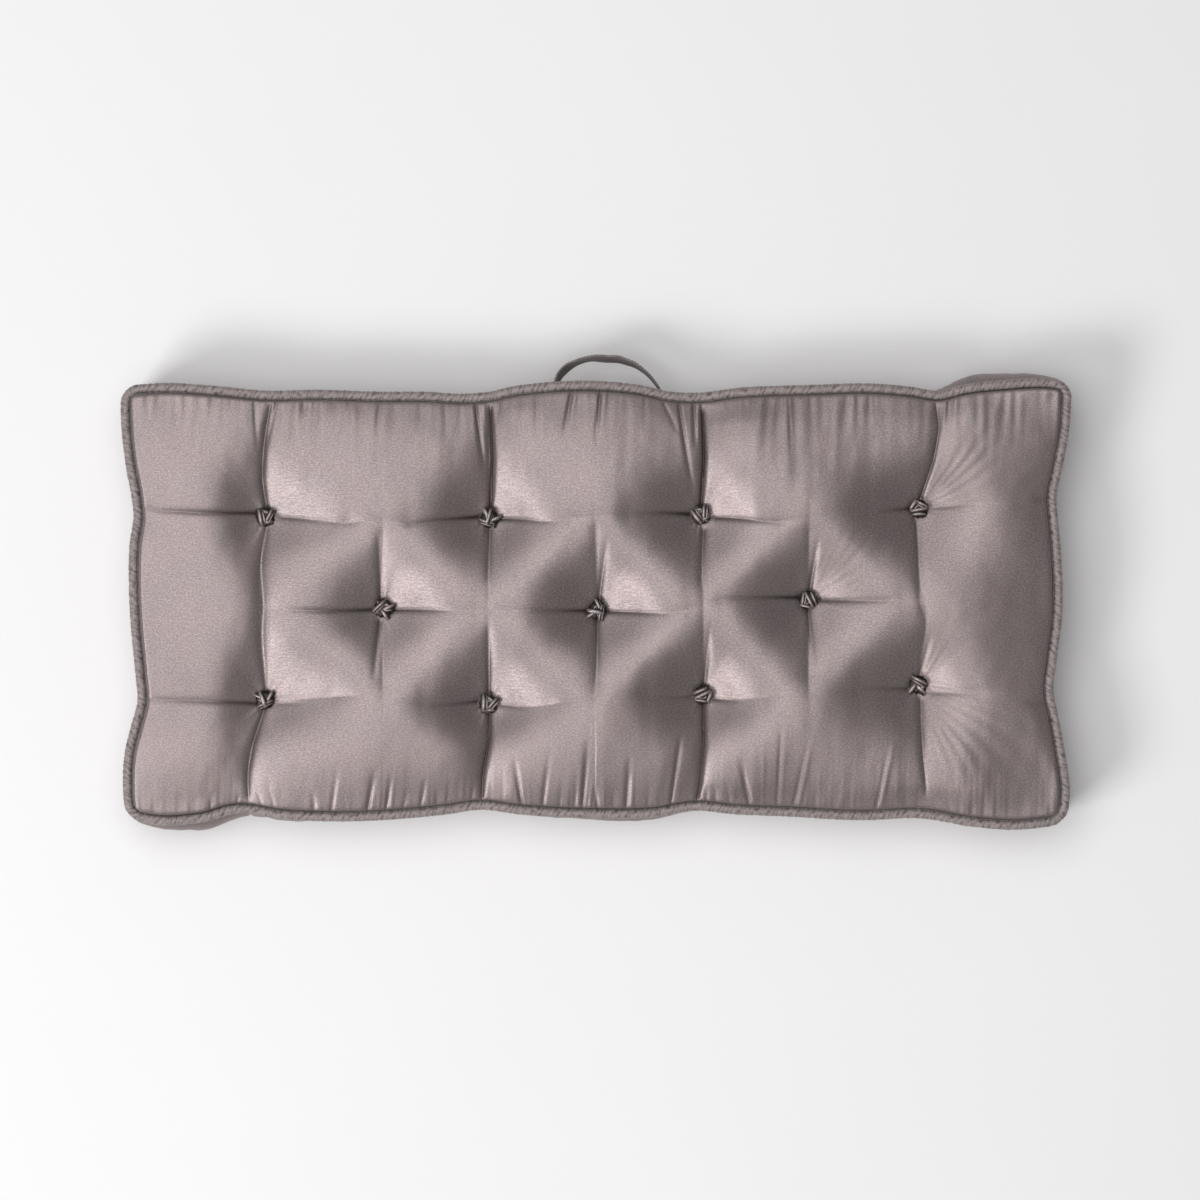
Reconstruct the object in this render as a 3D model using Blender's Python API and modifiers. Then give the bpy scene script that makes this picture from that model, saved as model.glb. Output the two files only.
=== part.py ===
"""Tufted box cushion for a two-place sofa, lying on its back.

Metres. X runs along the length, Y towards the carrying strap and Z up.
The plan is worked out from the cushion's own centre, and the finished
pieces are then stood on the origin by the middle of their bounding box.
"""

import math

import bmesh
import bpy
import numpy as np
from mathutils import Matrix, Vector

# Clearance between pieces that touch
GAP = 0.0003

# Overall sizes, to the outside of the piping
HALF_LENGTH = 0.500
HALF_DEPTH = 0.2375
BAND_HEIGHT = 0.080
PIPING_RADIUS = 0.005

# The filled cover inside the piping
COVER_INSET = 2 * PIPING_RADIUS + GAP
COVER_X = HALF_LENGTH - COVER_INSET
COVER_Y = HALF_DEPTH - COVER_INSET
CORNER_RADIUS = 0.009
LOW_SEAM_Z = 0.011
TOP_SEAM_Z = LOW_SEAM_Z + BAND_HEIGHT
SEAM_WAVE = 0.35
LOW_SEAM_TWIST = math.radians(0.25)

# Crown of the top panel and fullness of the underside
PILLOW_HEIGHT = 0.029
UNDER_HEIGHT = 0.020
EDGE_RISE = 0.034
TUFT_SINK = 0.006
UNDER_TUFT_SINK = 0.011
TUFT_SEAT = 0.0185
TUFT_SPREAD = 0.026
CREASE_WIDTH = 0.019
CREASE_FADE = 0.016

# Tufts: name, nominal column X, nominal row Y, and where the photograph shows the knot
ROW_Y = 0.095
COLUMN_X = 0.227
TUFTS = (
    ("back_1", -1.5 * COLUMN_X, ROW_Y, -0.348, 0.093),
    ("back_2", -0.5 * COLUMN_X, ROW_Y, -0.113, 0.092),
    ("back_3", 0.5 * COLUMN_X, ROW_Y, 0.110, 0.095),
    ("back_4", 1.5 * COLUMN_X, ROW_Y, 0.340, 0.101),
    ("middle_1", -COLUMN_X, 0.0, -0.225, -0.003),
    ("middle_2", 0.0, 0.0, 0.001, -0.005),
    ("middle_3", COLUMN_X, 0.0, 0.223, 0.005),
    ("front_1", -1.5 * COLUMN_X, -ROW_Y, -0.348, -0.100),
    ("front_2", -0.5 * COLUMN_X, -ROW_Y, -0.114, -0.103),
    ("front_3", 0.5 * COLUMN_X, -ROW_Y, 0.112, -0.093),
    ("front_4", 1.5 * COLUMN_X, -ROW_Y, 0.339, -0.084),
)

# Where a crease meets an edge: nominal X, nominal Y, and how far it slides along that edge
EDGE_SLIDES = (
    (-1.5 * COLUMN_X, COVER_Y, -0.002, 0.0),
    (1.5 * COLUMN_X, COVER_Y, 0.016, 0.0),
    (-1.5 * COLUMN_X, -COVER_Y, -0.026, 0.0),
    (-0.5 * COLUMN_X, -COVER_Y, -0.008, 0.0),
    (0.5 * COLUMN_X, -COVER_Y, -0.008, 0.0),
    (1.5 * COLUMN_X, -COVER_Y, 0.007, 0.0),
    (-COVER_X, ROW_Y, 0.0, 0.006),
    (-COVER_X, -ROW_Y, 0.0, -0.008),
    (COVER_X, ROW_Y, 0.0, 0.014),
    (COVER_X, -ROW_Y, 0.0, 0.003),
)
SLIDE_SPREAD = 0.045

# Outline of the piping: place along the edge, and how far it stands out from the plain rectangle
BACK_OUTLINE = (
    (-0.500, -0.006),
    (-0.450, -0.003),
    (-0.400, -0.006),
    (-0.343, -0.011),
    (-0.300, -0.010),
    (-0.225, -0.012),
    (-0.180, -0.012),
    (-0.140, -0.014),
    (-0.113, -0.012),
    (-0.085, -0.006),
    (-0.050, -0.002),
    (0.005, -0.001),
    (0.045, -0.005),
    (0.078, -0.012),
    (0.108, -0.013),
    (0.150, -0.008),
    (0.225, -0.005),
    (0.300, -0.004),
    (0.330, -0.007),
    (0.357, -0.011),
    (0.385, -0.005),
    (0.430, 0.000),
    (0.470, 0.002),
    (0.500, -0.001),
)
FRONT_OUTLINE = (
    (-0.500, -0.012),
    (-0.460, -0.005),
    (-0.425, -0.007),
    (-0.367, -0.017),
    (-0.330, -0.011),
    (-0.290, -0.009),
    (-0.200, -0.012),
    (-0.160, -0.016),
    (-0.119, -0.021),
    (-0.080, -0.016),
    (0.000, -0.012),
    (0.060, -0.013),
    (0.107, -0.020),
    (0.150, -0.016),
    (0.200, -0.014),
    (0.285, -0.010),
    (0.340, -0.012),
    (0.400, -0.003),
    (0.445, 0.000),
    (0.500, -0.006),
)
LEFT_OUTLINE = (
    (-0.240, -0.003),
    (-0.200, 0.000),
    (-0.160, -0.002),
    (-0.130, -0.009),
    (-0.103, -0.015),
    (-0.075, -0.013),
    (-0.020, -0.008),
    (0.030, -0.006),
    (0.065, -0.007),
    (0.095, -0.011),
    (0.115, -0.009),
    (0.150, -0.003),
    (0.200, 0.002),
    (0.240, 0.002),
)
RIGHT_OUTLINE = (
    (-0.240, -0.005),
    (-0.200, 0.000),
    (-0.160, -0.005),
    (-0.125, -0.011),
    (-0.092, -0.017),
    (-0.060, -0.014),
    (-0.010, -0.008),
    (0.050, -0.009),
    (0.085, -0.012),
    (0.112, -0.014),
    (0.145, -0.008),
    (0.185, -0.001),
    (0.240, 0.002),
)

# Boxing band from the top seam down: drop, and share of the bulge that the filling gives it
BAND_PROFILE = (
    (0.0, 0.0),
    (0.0058, 0.08),
    (0.018, 0.72),
    (0.040, 1.0),
    (0.062, 0.72),
    (0.0742, 0.08),
    (BAND_HEIGHT, 0.0),
)

# Bulge of the band: place along the edge, and how far it stands out from the seam
BACK_BULGE = (
    (-0.500, 0.0085),
    (0.260, 0.0085),
    (0.330, 0.0110),
    (0.395, 0.0190),
    (0.440, 0.0170),
    (0.500, 0.0095),
)
FRONT_BULGE = (
    (-0.500, 0.0100),
    (-0.455, 0.0160),
    (-0.400, 0.0190),
    (-0.335, 0.0130),
    (-0.270, 0.0090),
    (-0.060, 0.0110),
    (0.050, 0.0130),
    (0.120, 0.0110),
    (0.200, 0.0090),
    (0.500, 0.0090),
)
END_BULGE = 0.0090

# Creases on nominal grid lines: which way they run, the line, start, end and pinch
CREASES = (
    ("y", -1.5 * COLUMN_X, -COVER_Y, COVER_Y, 0.42),
    ("y", -0.5 * COLUMN_X, ROW_Y, COVER_Y, 0.62),
    ("y", 0.5 * COLUMN_X, ROW_Y, COVER_Y, 0.62),
    ("y", 1.5 * COLUMN_X, -COVER_Y, COVER_Y, 0.42),
    ("y", -0.5 * COLUMN_X, -COVER_Y, -ROW_Y, 0.58),
    ("y", 0.5 * COLUMN_X, -COVER_Y, -ROW_Y, 0.58),
    ("y", -0.5 * COLUMN_X, 0.045, ROW_Y, 0.40),
    ("y", 0.5 * COLUMN_X, 0.045, ROW_Y, 0.40),
    ("y", -0.5 * COLUMN_X, -ROW_Y, -0.040, 0.40),
    ("y", 0.5 * COLUMN_X, -ROW_Y, -0.040, 0.40),
    ("y", -COLUMN_X, -0.060, 0.060, 0.42),
    ("y", 0.0, -0.060, 0.060, 0.42),
    ("y", COLUMN_X, -0.060, 0.060, 0.42),
    ("x", ROW_Y, -COVER_X, -0.270, 0.36),
    ("x", ROW_Y, -0.185, -0.050, 0.40),
    ("x", ROW_Y, 0.050, 0.180, 0.40),
    ("x", ROW_Y, 0.285, 0.400, 0.34),
    ("x", 0.0, -0.300, -0.155, 0.40),
    ("x", 0.0, -0.070, 0.070, 0.40),
    ("x", 0.0, 0.150, 0.300, 0.40),
    ("x", -ROW_Y, -COVER_X, -0.290, 0.36),
    ("x", -ROW_Y, -0.170, -0.065, 0.32),
    ("x", -ROW_Y, 0.060, 0.160, 0.32),
    ("x", -ROW_Y, 0.295, 0.390, 0.30),
)

# Mesh of the filled cover: lines beside each tuft row or column, and cells between them
TUFT_LINE_OFFSET = 0.013
CORNER_LINES = (0.0035, CORNER_RADIUS, 0.021)
CELLS_BETWEEN = 3

# Rosette knots
KNOT_RADIUS = 0.0100
KNOT_HEIGHT = 0.0100
KNOT_FOLDS = 5
KNOT_FOLD_DEPTH = 0.10
KNOT_SEGMENTS = 20
KNOT_RINGS = 7

# Carrying strap, sewn to the band at both ends: place along X, then how far its middle
# stands off the seat, and the lean of its width in degrees
STRAP_WIDTH = 0.025
STRAP_THICKNESS = 0.003
STRAP_DROP = 0.040
STRAP_STATIONS = (
    (-0.0790, 0.0000, 0.0),
    (-0.0713, 0.0000, 0.0),
    (-0.0600, 0.0000, 0.0),
    (-0.0500, 0.0000, 0.0),
    (-0.0460, 0.0012, 1.0),
    (-0.0415, 0.0055, 4.0),
    (-0.0335, 0.0145, 8.0),
    (-0.0215, 0.0205, 10.0),
    (-0.0060, 0.0240, 10.5),
    (0.0100, 0.0254, 10.0),
    (0.0290, 0.0250, 8.0),
    (0.0440, 0.0205, 5.0),
    (0.0560, 0.0125, 3.0),
    (0.0640, 0.0050, 1.0),
    (0.0680, 0.0016, 0.0),
    (0.0713, 0.0000, 0.0),
    (0.0820, 0.0000, 0.0),
    (0.0920, 0.0000, 0.0),
    (0.1000, 0.0000, 0.0),
)

# Finishes: base colour, roughness, sheen
FINISHES = {
    "cover_satin": ((0.300, 0.258, 0.252), 0.46, 0.25),
    "piping_satin": ((0.282, 0.242, 0.236), 0.60, 0.20),
    "rosette_satin": ((0.235, 0.202, 0.197), 0.50, 0.20),
    "strap_satin": ((0.205, 0.176, 0.174), 0.62, 0.15),
}


def clear_scene():
    """Removes whatever the file opened with."""
    for item in list(bpy.data.objects):
        bpy.data.objects.remove(item, do_unlink=True)


def make_material(name):
    """A Principled material from its row in the table of finishes."""
    colour, roughness, sheen = FINISHES[name]
    material = bpy.data.materials.new(name)
    material.use_nodes = True
    shader = material.node_tree.nodes["Principled BSDF"]
    shader.inputs["Base Color"].default_value = (*colour, 1.0)
    shader.inputs["Roughness"].default_value = roughness
    shader.inputs["Metallic"].default_value = 0.0
    shader.inputs["Sheen Weight"].default_value = sheen
    material.diffuse_color = (*colour, 1.0)
    return material


def curve_through(rows, at):
    """Values at the places in `at`, on a cubic curve through rows of (place, value)."""
    places, values = np.array(rows, float).T
    slopes = np.gradient(values, places)
    i = np.clip(np.searchsorted(places, at) - 1, 0, len(places) - 2)
    step = places[i + 1] - places[i]
    t = np.clip((at - places[i]) / step, 0.0, 1.0)
    start = (1 + 2 * t) * (1 - t) ** 2 * values[i] + t * (1 - t) ** 2 * step * slopes[i]
    end = t * t * (3 - 2 * t) * values[i + 1] + t * t * (t - 1) * step * slopes[i + 1]
    return start + end


def outline_offsets(x, y):
    """How far the outline moves each point out, in X and in Y. It dies away towards the middle."""
    right = curve_through(RIGHT_OUTLINE, y) * np.clip(x / COVER_X, 0, 1) ** 2
    left = curve_through(LEFT_OUTLINE, y) * np.clip(-x / COVER_X, 0, 1) ** 2
    back = curve_through(BACK_OUTLINE, x) * np.clip(y / COVER_Y, 0, 1) ** 2
    front = curve_through(FRONT_OUTLINE, x) * np.clip(-y / COVER_Y, 0, 1) ** 2
    return right - left, back - front


def outward(x, y):
    """Unit vector out of the rounded rectangle at each point of its rim."""
    u = np.clip((np.abs(x) - COVER_X + CORNER_RADIUS) / CORNER_RADIUS, 0, 1)
    v = np.clip((np.abs(y) - COVER_Y + CORNER_RADIUS) / CORNER_RADIUS, 0, 1)
    across = np.stack([u * np.sqrt(1 - v * v / 2), v * np.sqrt(1 - u * u / 2)])
    size = np.maximum(np.hypot(*across), 1e-9)
    return np.sign(x) * across[0] / size, np.sign(y) * across[1] / size


def plan(x, y, share=0.0):
    """Where a point of the nominal rectangle lies in plan.

    Corners are rounded, tufts and crease ends move to their real places, and
    the edges take the outline. `share` runs from 0 at the top seam to 1 at
    the lower one, which is a little turned against it.
    """
    u = np.clip((np.abs(x) - COVER_X + CORNER_RADIUS) / CORNER_RADIUS, 0, 1)
    v = np.clip((np.abs(y) - COVER_Y + CORNER_RADIUS) / CORNER_RADIUS, 0, 1)
    px = x + np.sign(x) * CORNER_RADIUS * u * (np.sqrt(1 - v * v / 2) - 1)
    py = y + np.sign(y) * CORNER_RADIUS * v * (np.sqrt(1 - u * u / 2) - 1)
    out_x, out_y = outline_offsets(x, y)
    px, py = px + out_x, py + out_y
    _, rows_x, rows_y, real_x, real_y = (np.array(column) for column in zip(*TUFTS))
    tuft_out_x, tuft_out_y = outline_offsets(rows_x, rows_y)
    pulls = zip(rows_x, rows_y, real_x - rows_x - tuft_out_x, real_y - rows_y - tuft_out_y)
    for nx, ny, dx, dy in [*pulls, *EDGE_SLIDES]:
        near = np.exp(-((x - nx) ** 2 + (y - ny) ** 2) / (2 * SLIDE_SPREAD**2))
        px, py = px + dx * near, py + dy * near
    turn = share * LOW_SEAM_TWIST
    return px - py * turn, py + px * turn


def band_point(x, y, drop):
    """Where a point of the band lies: nominal place on the rim, and drop from the top seam."""
    share = drop / BAND_HEIGHT
    px, py = plan(x, y, share)
    bulge = np.where(np.abs(y) < COVER_Y - CORNER_RADIUS, END_BULGE, curve_through(BACK_BULGE, x))
    bulge = np.where(y <= CORNER_RADIUS - COVER_Y, curve_through(FRONT_BULGE, x), bulge)
    places, shares = zip(*BAND_PROFILE)
    out_x, out_y = outward(x, y)
    bulge = bulge * np.interp(drop, places, shares)
    z = TOP_SEAM_Z + seam_rise(x, y) * (1 - share) - drop
    return px + out_x * bulge, py + out_y * bulge, z


def fullness(x, y, seat=TUFT_SEAT):
    """Share of the full pillow height at each nominal point: 0 at the seams and tufts."""
    share = 1 - np.exp(-(COVER_X - np.abs(x)) / EDGE_RISE)
    share = share * (1 - np.exp(-(COVER_Y - np.abs(y)) / EDGE_RISE))
    for runs, line, start, end, pinch in CREASES:
        across, along = (x - line, y) if runs == "y" else (y - line, x)
        past = np.maximum(0, np.maximum(start - along, along - end))
        groove = np.exp(-np.abs(across) / CREASE_WIDTH - past / CREASE_FADE)
        share = share * (1 - pinch * groove)
    for _, tx, ty, _, _ in TUFTS:
        away = np.maximum(0, np.hypot(x - tx, y - ty) - seat)
        share = share * (1 - np.exp(-away / TUFT_SPREAD))
    return share


def tuft_pull(x, y, seat=TUFT_SEAT):
    """1 on a tuft's seat, dying away around it."""
    pull = np.zeros_like(x)
    for _, tx, ty, _, _ in TUFTS:
        away = np.maximum(0, np.hypot(x - tx, y - ty) - seat)
        pull = np.maximum(pull, np.exp(-((away / TUFT_SPREAD) ** 2)))
    return pull


def seam_rise(x, y):
    """Height that the seams take from the outline: lower where a crease draws them in."""
    out_x, out_y = outline_offsets(x, y)
    return SEAM_WAVE * (np.sign(x) * out_x + np.sign(y) * out_y)


def top_z(x, y):
    """Height of the top panel."""
    crown = PILLOW_HEIGHT * fullness(x, y)
    return TOP_SEAM_Z + seam_rise(x, y) + crown - TUFT_SINK * tuft_pull(x, y)


def under_z(x, y):
    """Height of the underside, pressed flat where it meets the surface below."""
    belly = UNDER_HEIGHT * fullness(x, y)
    lift = UNDER_TUFT_SINK * tuft_pull(x, y)
    return np.maximum(0.0, LOW_SEAM_Z - belly + lift)


def graded_lines(keys, half):
    """Grid lines across the cover: each key line, a line close on both sides of it, and even cells."""
    stops = sorted({-half, *keys, half})
    lines = set(stops)
    for low, high in zip(stops, stops[1:]):
        first = CORNER_LINES if low == -half else (TUFT_LINE_OFFSET,)
        last = CORNER_LINES if high == half else (TUFT_LINE_OFFSET,)
        lines |= {low + offset for offset in first}
        lines |= {high - offset for offset in last}
        start, end = low + max(first), high - max(last)
        lines |= {start + (end - start) * i / CELLS_BETWEEN for i in range(CELLS_BETWEEN)}
    return sorted({round(line, 6) for line in lines})


def rim_points():
    """Nominal points of the cover's rim, counter-clockwise from the front left corner."""
    columns, rows = grid_columns(), grid_rows()
    front = [(x, -COVER_Y) for x in columns[:-1]]
    right = [(COVER_X, y) for y in rows[:-1]]
    back = [(x, COVER_Y) for x in columns[:0:-1]]
    left = [(-COVER_X, y) for y in rows[:0:-1]]
    return np.array(front + right + back + left).T


def grid_columns():
    """Grid lines across the length."""
    return graded_lines({tuft[1] for tuft in TUFTS}, COVER_X)


def grid_rows():
    """Grid lines across the depth."""
    return graded_lines({tuft[2] for tuft in TUFTS}, COVER_Y)


def link(name, mesh, material, collection):
    """A new object with this mesh and material, in the collection."""
    item = bpy.data.objects.new(name, mesh)
    collection.objects.link(item)
    mesh.materials.append(material)
    return item


def build_cover(material, collection):
    """The filled cover: a box cut on the grid lines, then given its crown, band and underside."""
    form = bmesh.new()
    bmesh.ops.create_cube(form, size=2.0)
    bmesh.ops.scale(form, vec=(COVER_X, COVER_Y, BAND_HEIGHT / 2), verts=form.verts)
    levels = [BAND_HEIGHT / 2 - drop for drop, _ in BAND_PROFILE]
    for axis, places in enumerate((grid_columns(), grid_rows(), levels)):
        inner = sorted(places)[1:-1]
        for place in inner:
            point, normal = Vector(), Vector()
            point[axis], normal[axis] = place, 1.0
            everything = form.verts[:] + form.edges[:] + form.faces[:]
            bmesh.ops.bisect_plane(form, geom=everything, plane_co=point, plane_no=normal)
    mesh = bpy.data.meshes.new("cushion")
    form.to_mesh(mesh)
    form.free()

    nominal = np.zeros(len(mesh.vertices) * 3)
    mesh.vertices.foreach_get("co", nominal)
    x, y, z = nominal.reshape(-1, 3).T
    drop = BAND_HEIGHT / 2 - z
    panel_x, panel_y = plan(x, y, drop / BAND_HEIGHT)
    panel_z = np.where(z > 0, top_z(x, y), under_z(x, y))
    on_band = np.abs(z) < BAND_HEIGHT / 2 - 1e-6
    band_x, band_y, band_z = band_point(x, y, drop)
    shaped_x = np.where(on_band, band_x, panel_x)
    shaped_y = np.where(on_band, band_y, panel_y)
    shaped_z = np.where(on_band, band_z, panel_z)
    mesh.vertices.foreach_set("co", np.stack([shaped_x, shaped_y, shaped_z], axis=1).ravel())
    mesh.update()
    mesh.shade_smooth()
    mesh.set_sharp_from_angle(angle=math.radians(40))
    return link("cushion", mesh, material, collection)


def build_piping(name, level, material, collection):
    """A closed loop of piping in the top seam (level 0) or the lower one (level 1)."""
    x, y = rim_points()
    seam_x, seam_y = plan(x, y, level)
    along_x = np.roll(seam_x, -1) - np.roll(seam_x, 1)
    along_y = np.roll(seam_y, -1) - np.roll(seam_y, 1)
    reach = (PIPING_RADIUS + GAP) / np.hypot(along_x, along_y)
    seam_z = TOP_SEAM_Z + (1 - level) * seam_rise(x, y) - level * BAND_HEIGHT
    curve = bpy.data.curves.new(name, "CURVE")
    curve.dimensions = "3D"
    curve.bevel_depth = PIPING_RADIUS
    curve.bevel_resolution = 2
    spline = curve.splines.new("POLY")
    spline.points.add(len(x) - 1)
    spline.use_cyclic_u = True
    points = zip(seam_x + along_y * reach, seam_y - along_x * reach, seam_z)
    for point, place in zip(spline.points, points):
        point.co = (*place, 1.0)
    curve.materials.append(material)
    item = bpy.data.objects.new(name, curve)
    collection.objects.link(item)
    return item


def build_rosette(name, seat, turn, material, collection):
    """A gathered knot of cloth: a squat ball with folds round it and a dimpled top."""
    form = bmesh.new()
    bmesh.ops.create_uvsphere(form, u_segments=KNOT_SEGMENTS, v_segments=KNOT_RINGS, radius=1.0)
    for vertex in form.verts:
        angle = math.atan2(vertex.co.y, vertex.co.x) + turn
        reach = math.hypot(vertex.co.x, vertex.co.y)
        upper = max(0.0, vertex.co.z)
        fold = 1 + KNOT_FOLD_DEPTH * math.cos(KNOT_FOLDS * angle) * reach
        lobes = 0.16 * upper * math.cos(3 * angle + 1.0) * reach
        dimple = 0.30 * max(0.0, 1 - 2.5 * reach) if upper else 0.0
        vertex.co.x *= KNOT_RADIUS * fold
        vertex.co.y *= KNOT_RADIUS * fold
        vertex.co.z = GAP + KNOT_HEIGHT * (0.5 + 0.5 * vertex.co.z + lobes - dimple)
    mesh = bpy.data.meshes.new(name)
    form.to_mesh(mesh)
    form.free()
    mesh.shade_smooth()
    item = link(name, mesh, material, collection)
    item.location = seat
    return item


def build_rosettes(material, collection):
    """A rosette on the seat of each tuft."""
    rosettes = []
    for number, (name, nominal_x, nominal_y, _, _) in enumerate(TUFTS):
        x, y = np.array([nominal_x]), np.array([nominal_y])
        px, py = plan(x, y)
        seat = Vector((px[0], py[0], top_z(x, y)[0]))
        rosettes.append(build_rosette(f"rosette_{name}", seat, 0.7 * number, material, collection))
    return rosettes


def strap_seat(at, drop):
    """Y and Z of the back band at real places `at` along X, following the cover's facets."""
    columns = np.array(grid_columns())
    x, y, z = band_point(columns, np.full(len(columns), COVER_Y), drop)
    return np.interp(at, x, y), np.interp(at, x, z)


def build_strap(material, collection):
    """The carrying strap: a ribbon with both ends lying on the band, thickened both ways."""
    last = len(STRAP_STATIONS) - 1
    at, stand_offs, leans = np.array(STRAP_STATIONS).T
    form = bmesh.new()
    bmesh.ops.create_grid(form, x_segments=last, y_segments=2, size=0.5)
    seats = {}
    for row in (-1, 0, 1):
        seats[row] = strap_seat(at, STRAP_DROP - row * STRAP_WIDTH / 2)
    for vertex in form.verts:
        i = round((vertex.co.x + 0.5) * last)
        row = round(2 * vertex.co.y)
        blend = min(1.0, stand_offs[i] / 0.008)
        lean = math.radians(leans[i])
        middle_y, middle_z = seats[0][0][i], seats[0][1][i]
        seat_y = seats[row][0][i] + GAP + STRAP_THICKNESS / 2
        free_y = middle_y + stand_offs[i] + STRAP_THICKNESS / 2
        free_y += row * STRAP_WIDTH / 2 * math.sin(lean)
        vertex.co.x = at[i]
        vertex.co.y = seat_y + (free_y - seat_y) * blend
        vertex.co.z = middle_z + row * STRAP_WIDTH / 2 * math.cos(lean)
    bmesh.ops.recalc_face_normals(form, faces=form.faces)
    mesh = bpy.data.meshes.new("strap")
    form.to_mesh(mesh)
    form.free()
    mesh.shade_smooth()
    item = link("strap", mesh, material, collection)
    wall = item.modifiers.new("cloth_thickness", "SOLIDIFY")
    wall.thickness = STRAP_THICKNESS
    wall.offset = 0.0
    return item


def stand_on_origin(items):
    """Moves all pieces together, so that their bounding box stands on the origin."""
    bpy.context.view_layer.update()
    graph = bpy.context.evaluated_depsgraph_get()
    corners = []
    for item in items:
        shown = item.evaluated_get(graph)
        mesh = shown.to_mesh()
        corners += [shown.matrix_world @ vertex.co for vertex in mesh.vertices]
        shown.to_mesh_clear()
    low, high = np.min(corners, axis=0), np.max(corners, axis=0)
    shift = Vector(((low[0] + high[0]) / 2, (low[1] + high[1]) / 2, low[2]))
    for item in items:
        item.matrix_world = Matrix.Translation(-shift) @ item.matrix_world


def main():
    """Builds every piece of the cushion."""
    clear_scene()
    collection = bpy.data.collections.new("tufted_box_cushion")
    bpy.context.scene.collection.children.link(collection)
    finish = {name: make_material(name) for name in FINISHES}
    pieces = [build_cover(finish["cover_satin"], collection)]
    for level, name in enumerate(("piping_top", "piping_bottom")):
        pieces.append(build_piping(name, level, finish["piping_satin"], collection))
    pieces += build_rosettes(finish["rosette_satin"], collection)
    pieces.append(build_strap(finish["strap_satin"], collection))
    stand_on_origin(pieces)


main()
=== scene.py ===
"""Tufted box cushion in taupe satin, lying on its back and seen from straight above.

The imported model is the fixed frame. Each solid of it is replaced by a dressed
piece: the filled cover, two lines of piping, eleven knotted rosettes, the
carrying strap and its stitching. Lengths are metres unless a name says
millimetres. X runs along the length, Y towards the strap and Z up.
"""

import logging
import math
from dataclasses import dataclass, field
from enum import Enum

import bpy
import numpy as np
from mathutils.kdtree import KDTree
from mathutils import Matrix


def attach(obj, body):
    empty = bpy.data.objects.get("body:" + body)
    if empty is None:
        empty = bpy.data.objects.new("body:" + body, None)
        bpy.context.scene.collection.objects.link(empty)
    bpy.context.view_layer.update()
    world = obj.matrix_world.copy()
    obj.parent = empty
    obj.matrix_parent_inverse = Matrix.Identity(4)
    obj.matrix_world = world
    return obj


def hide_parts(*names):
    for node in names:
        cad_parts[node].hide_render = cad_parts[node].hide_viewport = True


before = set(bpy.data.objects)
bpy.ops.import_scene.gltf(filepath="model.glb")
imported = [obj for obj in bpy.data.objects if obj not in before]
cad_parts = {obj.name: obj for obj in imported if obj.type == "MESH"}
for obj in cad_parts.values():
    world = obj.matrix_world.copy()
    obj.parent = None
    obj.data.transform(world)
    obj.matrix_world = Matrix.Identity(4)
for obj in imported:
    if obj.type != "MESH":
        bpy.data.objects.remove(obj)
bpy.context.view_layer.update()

LOG = logging.getLogger("box_cushion")
Array = np.ndarray
Socket = bpy.types.NodeSocket
MM = 0.001

# Tufts: name, nominal column X, nominal row Y, and where the knot really sits
ROW_Y = 0.095
COLUMN_X = 0.227
TUFTS = (
    ("back_1", -1.5 * COLUMN_X, ROW_Y, -0.348, 0.093),
    ("back_2", -0.5 * COLUMN_X, ROW_Y, -0.113, 0.092),
    ("back_3", 0.5 * COLUMN_X, ROW_Y, 0.110, 0.095),
    ("back_4", 1.5 * COLUMN_X, ROW_Y, 0.340, 0.101),
    ("middle_1", -COLUMN_X, 0.0, -0.225, -0.003),
    ("middle_2", 0.0, 0.0, 0.001, -0.005),
    ("middle_3", COLUMN_X, 0.0, 0.223, 0.005),
    ("front_1", -1.5 * COLUMN_X, -ROW_Y, -0.348, -0.100),
    ("front_2", -0.5 * COLUMN_X, -ROW_Y, -0.114, -0.103),
    ("front_3", 0.5 * COLUMN_X, -ROW_Y, 0.112, -0.093),
    ("front_4", 1.5 * COLUMN_X, -ROW_Y, 0.339, -0.084),
)

# Half sizes of the cover at its seams
COVER_X = 0.4897
COVER_Y = 0.2272

# Where a crease meets an edge: nominal X, nominal Y, and how far it slides along that edge
EDGE_SLIDES = (
    (-1.5 * COLUMN_X, COVER_Y, -0.002, 0.0), (1.5 * COLUMN_X, COVER_Y, 0.016, 0.0),
    (-1.5 * COLUMN_X, -COVER_Y, -0.026, 0.0), (-0.5 * COLUMN_X, -COVER_Y, -0.008, 0.0),
    (0.5 * COLUMN_X, -COVER_Y, -0.008, 0.0), (1.5 * COLUMN_X, -COVER_Y, 0.007, 0.0),
    (-COVER_X, ROW_Y, 0.0, 0.006), (-COVER_X, -ROW_Y, 0.0, -0.008), (COVER_X, ROW_Y, 0.0, 0.014),
    (COVER_X, -ROW_Y, 0.0, 0.003),
)

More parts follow.
